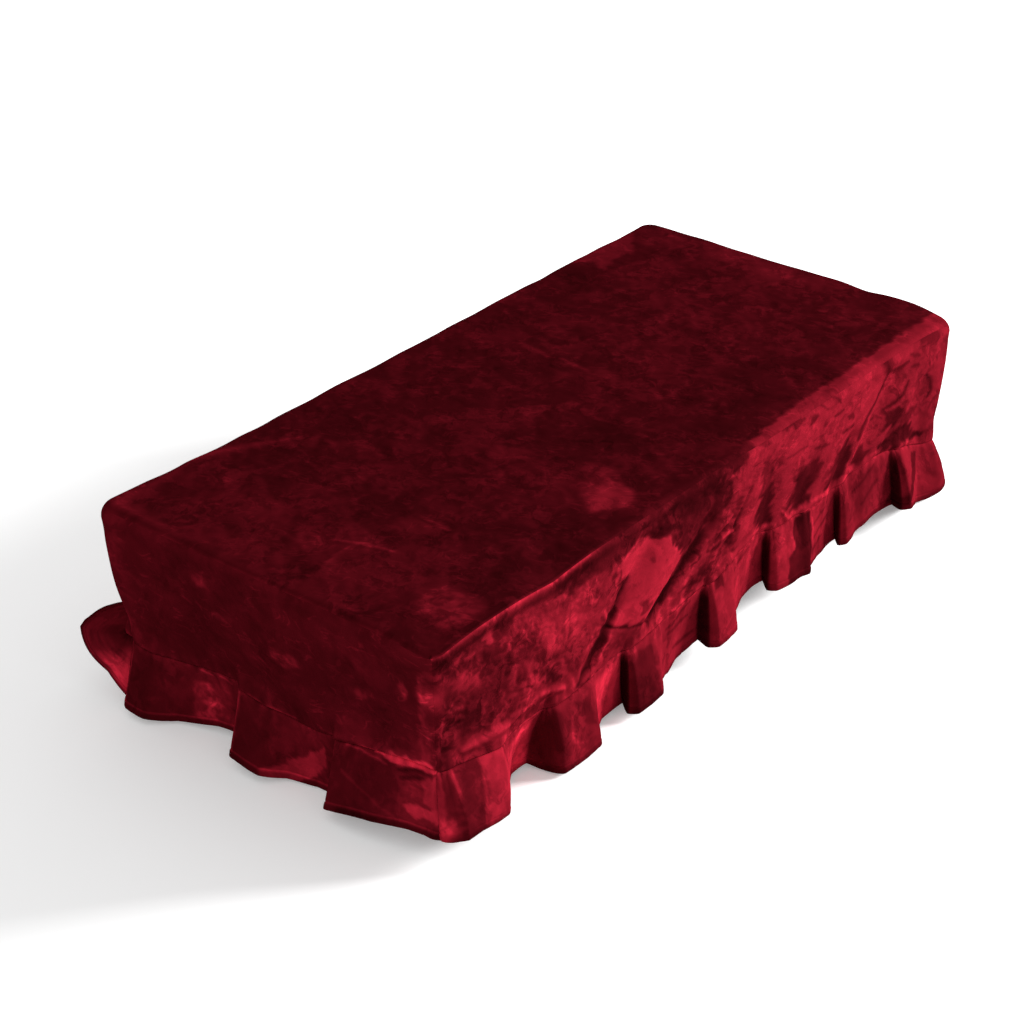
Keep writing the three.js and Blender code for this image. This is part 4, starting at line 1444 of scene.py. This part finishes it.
@dataclass(frozen=True)
class PleatLine:
    """The folded line of one flounce strip at its seam and at its hem.

    A pleat has six stations: the rest of the hollow before it, the tuck, the folded edge, both ends of the face
    and the turn into the next hollow. The fields give the painted shade in the tuck and on the folded edge, the
    painted highlight on the line beside it, and the painted shade of the last two where the cloth runs on without
    a tuck.
    """

    plan: CoverPlan
    side: Side
    seam_pinch: float = 2.0
    seam_bump: float = 0.2
    edge_share: float = 0.62
    edge_round: float = 4.0
    turn_share: float = 0.22
    rest_share: float = 0.6
    last_share: float = 0.5
    crisp: float = 0.72
    # Painted shade in the tucks and at the folded edges, and a painted highlight beside them.
    tuck_painted_shade: float = -0.55
    fold_painted_shade: float = -0.5
    edge_painted_highlight: float = 0.12
    loose_fold_painted_shade: float = -0.12
    loose_edge_painted_shade: float = -0.08
    first_step: float = 0.7
    tuck_step: float = 1.12
    edge_step: float = 0.25
    samples: int = 6000
    per_pleat: int = 6

    @property
    def end(self) -> float:
        """Distance of the strip's ends from the middle of its side."""
        return self.plan.run_of(self.side) + self.plan.turn / 2 - self.plan.seam_gap / 2

    def stations(self) -> Array:
        """Where the cloth is at the seam and the hem, how it stands out, how it flicks up, and its pile with
        painted light and shade.

        Returns:
            One row for each station.
        """
        pleats, end, pinch = PLEATS[self.side], self.end, self.seam_pinch
        rows = [(-end, -end, *JOINS[self.side], 0.0)]
        for k, pleat in enumerate(pleats):
            before = pleats[k - 1] if k else None
            inside = before.dip if before else JOINS[self.side][0]
            fold, lift, tucked = pleat.fold, pleat.lift, pleat.tuck > 0
            if before:
                rest = mix(before.face, fold, self.rest_share)
                rows.append((rest, rest, before.dip, lift, before.hollow_painted_light))
                rows.append((fold - pinch, fold + pleat.tuck, before.dip, lift, self.tuck_painted_shade if tucked else 0.0))
            rows.append((fold + pinch, fold, mix(inside, pleat.reach, self.edge_share), lift,
                         self.fold_painted_shade if tucked else self.loose_fold_painted_shade))
            rows.append((fold + 3 * pinch, fold + self.edge_round, pleat.reach, lift, pleat.face_pile_and_painted_light))
            rows.append((pleat.face, pleat.face - pleat.tail_in, pleat.tail, lift + pleat.tail_lift,
                         pleat.face_pile_and_painted_light))
            if k + 1 < len(pleats):
                turn = mix(pleat.face, pleats[k + 1].fold, self.turn_share)
                hollow = mix(pleat.tail, pleat.dip, self.edge_share)
            else:
                turn, hollow = mix(pleat.face, end, self.last_share), pleat.dip
            rows.append((turn, turn, hollow, lift, pleat.hollow_painted_light))
        rows.append((end, end, *JOINS[self.side.following], 0.0))
        return np.array(rows, float)

    def seam(self, shares: Array) -> Array:
        """Spots on the seam.

        Args:
            shares: Shares of the strip's stations.

        Returns:
            Place, reach out and flick of each spot.
        """
        rows = self.stations()
        points = np.stack([rows[:, 0], rows[:, 2] * self.seam_bump, rows[:, 3]], -1)
        return folded_line(points, shares, self.crisp)

    def hem(self, shares: Array) -> Array:
        """Spots on the hem at shares of the stations."""
        return folded_line(self.stations()[:, 1:4], shares, self.crisp)

    def unfold(self, step: float) -> tuple[Array, Array]:
        """Spaces columns evenly along the unfolded hem.

        Args:
            step: Distance between the columns.

        Returns:
            Share of the stations at each column, and its distance along the cut strip.
        """
        dense = np.linspace(0, 1, self.samples)
        steps = np.linalg.norm(np.diff(self.hem(dense)[:, :2], axis=0), axis=1)
        ways = np.concatenate([[0], np.cumsum(steps)])
        columns = np.linspace(0, ways[-1], int(round(ways[-1] / step)) + 1)
        shares = np.interp(columns, ways, dense)
        return shares, np.interp(shares, dense, ways)

    def pile_and_painted_light(self, shares: Array) -> Array:
        """Pile and painted light along the strip: painted shade in the tucks and on the folded edges and a
        painted highlight beside them, changing at once on each folded edge.

        Args:
            shares: Shares of the strip's stations.

        Returns:
            Pile and painted light at each share.
        """
        values = list(self.stations()[:, 4])
        line = dict(enumerate(values))
        for k, pleat in enumerate(PLEATS[self.side]):
            fold = self.per_pleat * k + 1
            line[fold - self.tuck_step if k else self.first_step] = values[fold - 2 if k else 0]
            line[fold + self.edge_step] = self.edge_painted_highlight if pleat.tuck > 0 else self.loose_edge_painted_shade
        steps = sorted(line)
        return np.interp(shares, np.array(steps) / steps[-1], [line[step] for step in steps])

    def bump(self, along: Array) -> Array:
        """How far the seam stands out at distances along the side."""
        rows = self.stations()
        return np.interp(along, rows[:, 0], rows[:, 2] * self.seam_bump)


@dataclass(frozen=True)
class Wall:
    """One hanging side of the cover, from the rolled edge to the flounce seam.

    It laps under the top and under the wall on its left. Its crumpling calms down at its borders.
    """

    plan: CoverPlan
    pleats: PleatLine
    finish: VelvetFinish
    crush: Crush
    base_with_painted_light: float
    # Painted light on the rolled top of the wall where it faces up.
    roll_painted_light: float = 0.0
    left_dark: float = 0.0
    step: float = 2.0
    hang: float = 122.0
    fringe: float = 10.0
    lap: Spot = (2.6, 0.4)
    lap_in: Spot = (2.4, 0.3)
    top_rows: tuple[float, ...] = (-3.0, -0.5, 0.0, 0.9, 1.8, 2.8, 3.8)
    foot_rows: float = 8.0
    bump_reach: float = 26.0
    gap_reach: float = 6.0
    calm: float = 14.0
    edge_calm: float = 3.0
    painted_shading_calm: float = 12.0
    pucker: float = 1.4
    pucker_wave: Spot = (9.0, 60.0)
    pucker_reach: float = 16.0
    bulge_fade: float = 70.0
    border_fade: float = 30.0
    dark_start: Spot = (-3.0, 14.0)
    dark_wide: float = 12.0
    dark_reach: float = 26.0
    dark_coarse: Spot = (22.0, 26.0)
    dark_fine: Spot = (10.0, 9.0)
    corner_wide: float = 14.0
    corner_fade: float = 20.0

    @property
    def roll(self) -> float:
        """The wall's share of the rolled edge."""
        return self.plan.roll_length / 2 - self.plan.seam_gap / 2

    @property
    def foot(self) -> float:
        """Length of the wall's cloth from the top seam to the flounce seam."""
        return self.roll + self.hang

    @property
    def ripple(self) -> Ripple:
        """Pattern of the wall's crumpling."""
        return Ripple(Seed.WALL + self.pleats.side.value)

    def _lines(self) -> tuple[Array, Array]:
        """Grid lines of the wall, closer together at both seams.

        Returns:
            Distances from the middle of the side, and distances down the cloth from the top seam.
        """
        end, foot = self.pleats.end, self.foot
        inside = np.linspace(-end, end, int(round(2 * end / self.step)) + 1)
        middle = np.linspace(self.roll, foot - self.foot_rows,
                             int(round((self.hang - self.foot_rows) / self.step)) + 1)
        down = np.concatenate([self.top_rows, middle, foot - np.array(SEAM.steps[::-1]), [foot]])
        return np.concatenate([-end - np.array(self.lap), inside]), down

    def _hang(self, at: Array, drop: Array) -> Array:
        """Mid cloth of the wall as it hangs, turned in at the flounce seam.

        Args:
            at: Distance of each spot from the middle of the side.
            drop: Distance of each spot down the cloth from the top seam.

        Returns:
            Points of the cloth.
        """
        plan, roll, left = self.plan, self.roll, self.foot - drop
        place = plan.middle_of(self.pleats.side) + at
        run = np.where(drop < roll, 1 - (roll - drop) / plan.roll_length, 1 + (drop - roll) / self.hang)
        grid = plan.wall(place, run)
        _, _, out_x, out_y = plan.outline(place, 0.0)
        inward = SEAM.turned_in(left) - self.pleats.bump(at) * ease(1 - left / self.bump_reach)
        inward[-1] += SEAM.allowance
        grid[..., 0] -= out_x * inward
        grid[..., 1] -= out_y * inward
        grid[..., 2] += SEAM.lift(left) + plan.seam_gap / 2 * ease(1 - left / self.gap_reach)
        return grid

    def _relief(self, grid: Array, at: Array, drop: Array, crush: Array) -> Array:
        """Crumpling, puckers and unevenness of the wall.

        Args:
            grid: Points of the smooth cloth.
            at: Distance of each spot from the middle of the side.
            drop: Distance of each spot down the cloth from the top seam.
            crush: Share of crumpling left at each spot.

        Returns:
            Heights in mm.
        """
        ripple, left, edge = self.ripple, self.foot - drop, self.pleats.end - np.abs(at)
        inside = np.minimum(np.minimum(drop, left), edge)
        relief = crush * self.crush.relief(ripple, at, drop) * ease(inside / self.calm)
        puckers = ripple.sized(at, drop, self.pucker_wave) * np.exp(-left / self.pucker_reach)
        room = np.minimum(left - SEAM.pucker_start, edge / self.edge_calm)
        relief = relief + self.pucker * puckers * ease(room / SEAM.pucker_fade)
        relief = relief + EDGES.wave(grid[..., 0], grid[..., 1], drop)
        if self.pleats.side is F:
            relief = relief + EDGES.ridge(at, drop, EDGES.ridge_wide)
        relief = relief + EDGES.bulge(grid[..., 0], grid[..., 1]) * ease(left / self.bulge_fade)
        lap_in, laps = np.array(self.lap_in), len(self.lap)
        relief[:laps] -= lap_in[:, None]
        relief[:, :laps] -= lap_in
        return relief

    def _borders(self, normals: Array, at: Array, drop: Array) -> Array:
        """Painted light and shade that the wall's borders add: painted light on the rolled top, the painted
        highlight and shade line of the front ridge, a darker left end and painted light beside the seam.

        Args:
            normals: Directions of the smooth cloth.
            at: Distance of each spot from the middle of the side.
            drop: Distance of each spot down the cloth from the top seam.

        Returns:
            Pile and painted light at each spot.
        """
        ripple, left, near = self.ripple, self.foot - drop, self.pleats.end + at
        # Painted light on the rolled top where it faces up.
        pile_and_painted_light = self.roll_painted_light * faces_by(normals[..., 2]) * ease(left / self.border_fade)
        if self.pleats.side is F:
            pile_and_painted_light = pile_and_painted_light + EDGES.ridge_painted_light(at, drop)
        past = near - self.dark_wide + ripple.uneven(at, drop, self.dark_coarse, self.dark_fine)
        dark = self.left_dark * np.exp(-np.maximum(past, 0) / self.dark_reach)
        dark = dark * ease((near - self.dark_start[0]) / self.dark_start[1])
        return pile_and_painted_light + dark + SEAM.pile(ripple, at, drop, left)

    def build(self) -> bpy.types.Object:
        """Makes and settles the wall.

        Returns:
            The finished wall.
        """
        plan, side, end, laps = self.plan, self.pleats.side, self.pleats.end, len(self.lap)
        at, drop = np.meshgrid(*self._lines())
        grid = self._hang(at, drop)
        normals, depth = normals_of(grid), -grid[..., 2]
        marks = WALL_MARKS.get(side, ()) + WALL_CREASES.get(side, ())
        pile_and_light_marks, crush = Brush(Ripple(Seed.WALL_MARKS + side.value), self.fringe).over(at, depth, marks)
        cloth = grid + normals * self._relief(grid, at, drop, crush)[..., None]

        place = plan.middle_of(side) + at
        _, _, out_x, out_y = plan.outline(place, 0.0)
        smooth = np.stack([out_x, out_y, np.zeros(out_x.shape)], -1)
        facing = np.pad(normals_of(cloth[laps:, laps:]), ((laps, 0), (laps, 0), (0, 0)), mode="edge")
        # Painted shading: the crumples are painted lighter where they face the lamp, on a base painted lighter or
        # darker by how the side is lit.
        pile_and_painted_light = self.base_with_painted_light + pile_and_light_marks + crush * self.crush.pile_and_painted_light(smooth, facing) * ease(drop / self.painted_shading_calm)
        pile_and_painted_light = pile_and_painted_light + self._borders(normals, at, drop)
        if side in (F, L):
            near = end + at if side is F else end - at
            shared = ease(1 - near / self.corner_wide) * ease(drop / self.corner_fade)
            pile_and_painted_light = mix(pile_and_painted_light, EDGES.corner_pile(depth), shared)
        walked = place - (plan.lap if side is L else 0.0)
        sheet = Cloth(f"velvet_{side.label}_wall", cloth, normals, plan.cloth, np.stack([walked, -drop], -1), pile_and_painted_light,
                      crush, sharp_row=laps, sharp_column=laps)
        piece = sheet.build(self.finish.dress())
        settle(piece, f"{side.label}_wall", (2 * end * MM, self.foot * MM))
        return piece


@dataclass(frozen=True)
class Flounce:
    """One strip of the pleated flounce with its turned hem.

    The stitches of the hem draw a groove, and its lower edge is rounded by thinning the cloth. A painted
    highlight runs along the stitches and a painted shadow along the foot of the hem.
    """

    plan: CoverPlan
    pleats: PleatLine
    finish: VelvetFinish
    base_with_painted_light: float
    depth: float = 63.0
    hem_depth: float = 7.0
    hem_cloth: float = 3.0
    # Painted highlight along the stitches of the hem.
    stitch_painted_highlight: float = 0.27
    groove_deep: float = 0.4
    groove_half: float = 0.9
    edge_thin: float = 1.1
    edge_wide: float = 1.4
    # Painted shadow along the foot of the hem.
    foot_painted_shadow: float = -0.12
    foot_run: Spot = (9.0, 8.0)
    least_fall: float = 12.0
    step: float = 1.8
    swell: float = 0.0
    calm: float = 16.0
    pucker: float = 1.6
    pucker_wave: Spot = (10.0, 70.0)
    pucker_reach: float = 15.0
    pleat_painted_light_fade: float = 0.25
    rows_at: tuple[float, float, int] = (7.5, 2.2, 26)
    stitch_rows: tuple[float, ...] = (-1.2, -0.5, 0.0, 0.5, 1.2, 2.2)
    hem_rows: tuple[float, float, int] = (3.6, 1.2, 3)
    last_row: float = 0.5
    map_apart: float = 3000.0

    @property
    def stitch(self) -> float:
        """Depth of the hem's stitches below the seam."""
        return self.depth - self.hem_depth

    def _rows(self) -> Array:
        """Depths of the rows below the seam, closer together at the seam, the stitches and the hem.

        Returns:
            Depths in mm, the first two at the seam.
        """
        start, stop, count = self.rows_at
        hem_start, hem_stop, hem_count = self.hem_rows
        return np.concatenate([
            [0.0], SEAM.steps, np.linspace(start, self.stitch - stop, count),
            self.stitch + np.array(self.stitch_rows),
            np.linspace(self.stitch + hem_start, self.depth - hem_stop, hem_count),
            [self.depth - self.last_row, self.depth]])

    def _hang(self, top: Array, low: Array, along: Array, down: Array) -> Array:
        """Mid cloth of the strip as it hangs.

        Args:
            top: Spots of the columns on the seam.
            low: Spots of the columns on the hem.
            along: Distance of each spot from the middle of the side.
            down: Depths of the rows below the seam, as a column.

        Returns:
            Points of the cloth.
        """
        plan, middle, deep = self.plan, self.plan.middle_of(self.pleats.side), down / self.depth
        fall = np.sqrt(np.maximum(self.least_fall**2, self.depth**2 - low[..., 1] ** 2))
        stand = mix(top[..., 1], low[..., 1], deep + self.swell * deep * (1 - deep))
        offset = plan.seam_offset(middle + top[..., 0]) + stand - SEAM.turned_in(down)
        offset[0] -= SEAM.allowance
        x, y, _, _ = plan.outline(middle + along, offset)
        drop = plan.seam_drop(middle + top[..., 0]) + plan.seam_gap / 2 + SEAM.lift(down)
        return np.stack([x, y, low[..., 2] * deep**2 - drop - fall * deep], -1)

    def build(self) -> bpy.types.Object:
        """Makes and settles the strip.

        Returns:
            The finished strip.
        """
        plan, side, ripple = self.plan, self.pleats.side, Ripple(Seed.FLOUNCE + self.pleats.side.value)
        shares, strip = self.pleats.unfold(self.step)
        top, low = self.pleats.seam(shares)[None], self.pleats.hem(shares)[None]
        at, drops = np.meshgrid(strip, self._rows())
        deep = drops[:, :1] / self.depth
        along = mix(top[..., 0], low[..., 0], deep)
        grid = self._hang(top, low, along, drops[:, :1])
        normals = normals_of(grid)

        groove = hump(drops - self.stitch, self.groove_half)
        puckers = ripple.sized(at, drops, self.pucker_wave) * np.exp(-drops / self.pucker_reach)
        relief = FRILL_CRUSH.relief(ripple, at, drops) * ease(drops / self.calm) - self.groove_deep * groove
        relief = relief + self.pucker * puckers * ease((drops - SEAM.pucker_start) / SEAM.pucker_fade)
        thick = np.where(drops > self.stitch, self.hem_cloth, plan.cloth)
        thick = thick - self.edge_thin * ease((drops - self.depth + self.edge_wide) / self.edge_wide)
        cloth = grid + normals * relief[..., None]

        marks = FRILL_MARKS.get(side, ())
        pile_and_light_marks, crush = Brush(Ripple(Seed.FLOUNCE_MARKS + side.value)).over(along, drops, marks)
        # Painted light and shade of the pleats, a painted highlight along the stitches, a painted shadow at the
        # foot, painted light beside the seam and painted shading of the crumples.
        pile_and_light_marks = pile_and_light_marks + self.pleats.pile_and_painted_light(shares)[None] * ease(deep / self.pleat_painted_light_fade) + self.stitch_painted_highlight * groove
        pile_and_light_marks = pile_and_light_marks + self.foot_painted_shadow * ease((drops - self.depth + self.foot_run[0]) / self.foot_run[1])
        pile_and_light_marks = pile_and_light_marks + SEAM.pile(ripple, at, drops, drops)
        pile_and_painted_light = self.base_with_painted_light + pile_and_light_marks + crush * FRILL_CRUSH.pile_and_painted_light(normals, normals_of(cloth))
        flat_map = np.stack([at + self.map_apart * (side.value + 1), -drops], -1)
        sheet = Cloth(f"velvet_{side.label}_flounce", cloth, normals, thick, flat_map, pile_and_painted_light, crush, soft_foot=True)
        piece = sheet.build(self.finish.dress())
        cut = (strip[-1] * MM, (self.depth + self.hem_depth) * MM)
        settle(piece, f"{side.label}_flounce", cut)
        return piece


@dataclass(frozen=True)
class Studio:
    """The pale floor, the soft light and the camera."""

    floor_level: float
    floor_reach: float = 30.0
    floor_glow: float = 0.25
    lamp_place: tuple[float, float, float] = (2.5, -2.0, 1.0)
    lamp_aim: tuple[float, float, float] = (0.0, 0.0, -0.1)
    lamp_size: float = 0.9
    lamp_power: float = 260.0
    surround: float = 0.7
    lens: float = 84.375
    sensor: float = 36.0
    azimuth: float = -49.58
    elevation: float = 29.61
    roll: float = -1.63
    aim: tuple[float, float, float] = (-0.1761, -0.0932, 0.002)
    away: float = 1.9842

    def floor(self) -> None:
        """Lays the floor."""
        mesh = bpy.data.meshes.new("floor")
        reach = self.floor_reach
        corners = ((-reach, -reach), (reach, -reach), (reach, reach), (-reach, reach))
        mesh.from_pydata([(*corner, self.floor_level) for corner in corners], [], [(0, 1, 2, 3)])
        material = bpy.data.materials.new("pale_floor")
        material.use_nodes = True
        coat = material.node_tree.nodes["Principled BSDF"]
        looks = {"Base Color": (0.9, 0.9, 0.9, 1.0), "Roughness": 0.9, "Specular IOR Level": 0.05,
                 "Emission Color": (1.0, 1.0, 1.0, 1.0), "Emission Strength": self.floor_glow}
        for name, value in looks.items():
            coat.inputs[name].default_value = value
        mesh.materials.append(material)
        floor = bpy.data.objects.new("floor", mesh)
        bpy.context.scene.collection.objects.link(floor)

    def light(self) -> None:
        """Lights the cover from the right with a soft square lamp and an even surround."""
        light = bpy.data.lights.new("key", "AREA")
        light.shape, light.size, light.energy = "SQUARE", self.lamp_size, self.lamp_power
        lamp = bpy.data.objects.new("key", light)
        lamp.location = self.lamp_place
        towards = Vector(self.lamp_aim) - Vector(self.lamp_place)
        lamp.rotation_euler = towards.to_track_quat("-Z", "Y").to_euler()
        bpy.context.scene.collection.objects.link(lamp)
        world = bpy.data.worlds.new("studio")
        bpy.context.scene.world = world
        world.use_nodes = True
        world.node_tree.nodes["Background"].inputs["Color"].default_value = (1.0, 1.0, 1.0, 1.0)
        world.node_tree.nodes["Background"].inputs["Strength"].default_value = self.surround
        bpy.context.scene.view_settings.view_transform = "Standard"

    def camera(self) -> None:
        """Sets up the camera at the photograph's angle."""
        azimuth, elevation, roll = (math.radians(angle) for angle in (self.azimuth, self.elevation, self.roll))
        flat = math.cos(elevation)
        back = Vector((math.sin(azimuth) * flat, -math.cos(azimuth) * flat, math.sin(elevation)))
        right = (-back).cross(Vector((0, 0, 1))).normalized()
        up = right.cross(-back)
        turned = math.cos(roll) * right + math.sin(roll) * up
        upright = math.cos(roll) * up - math.sin(roll) * right
        place = Vector(self.aim) + back * self.away
        data = bpy.data.cameras.new("camera")
        data.lens, data.sensor_width = self.lens, self.sensor
        camera = bpy.data.objects.new("camera", data)
        camera.matrix_world = Matrix.Translation(place) @ Matrix((turned, upright, back)).transposed().to_4x4()
        bpy.context.scene.collection.objects.link(camera)
        bpy.context.scene.camera = camera


def build_side(plan: CoverPlan, side: Side, step: float) -> None:
    """Builds the wall and the flounce of one side.

    Args:
        plan: Shape of the cover.
        side: Which side.
        step: Distance between the points of its cloth, in mm.
    """
    # The left end, turned from the lamp, gets darker bases as painted shade and a painted highlight on its folded
    # edges; the lit sides get lighter bases and a painted shadow at the foot of the hem.
    if side is L:
        pleats = PleatLine(plan, side, edge_painted_highlight=0.5)
        wall = Wall(plan, pleats, SHADED, END_CRUSH, base_with_painted_light=0.46, roll_painted_light=0.09, step=step, fringe=4.0)
        flounce = Flounce(plan, pleats, FRILL, base_with_painted_light=0.52, step=step)
    else:
        pleats = PleatLine(plan, side)
        wall = Wall(plan, pleats, LIT, FRONT_CRUSH, base_with_painted_light=0.64, step=step,
                    left_dark=-0.26 if side is F else 0.0)
        flounce = Flounce(plan, pleats, FRILL, base_with_painted_light=0.62, stitch_painted_highlight=0.06, foot_painted_shadow=-0.22, step=step,
                          swell=0.8 if side is F else 0.2)
    wall.build()
    flounce.build()


def main() -> None:
    """Builds the cover piece by piece, then the studio around it."""
    logging.basicConfig(level=logging.INFO, format="%(message)s")
    plan = CoverPlan()
    TopPanel(plan, DARK).build()
    for side, step in CLOTH_STEPS.items():
        build_side(plan, side, step)
    studio = Studio(floor_level=CAD_BOX[0][2])
    studio.floor()
    studio.light()
    studio.camera()


if __name__ == "__main__":
    main()
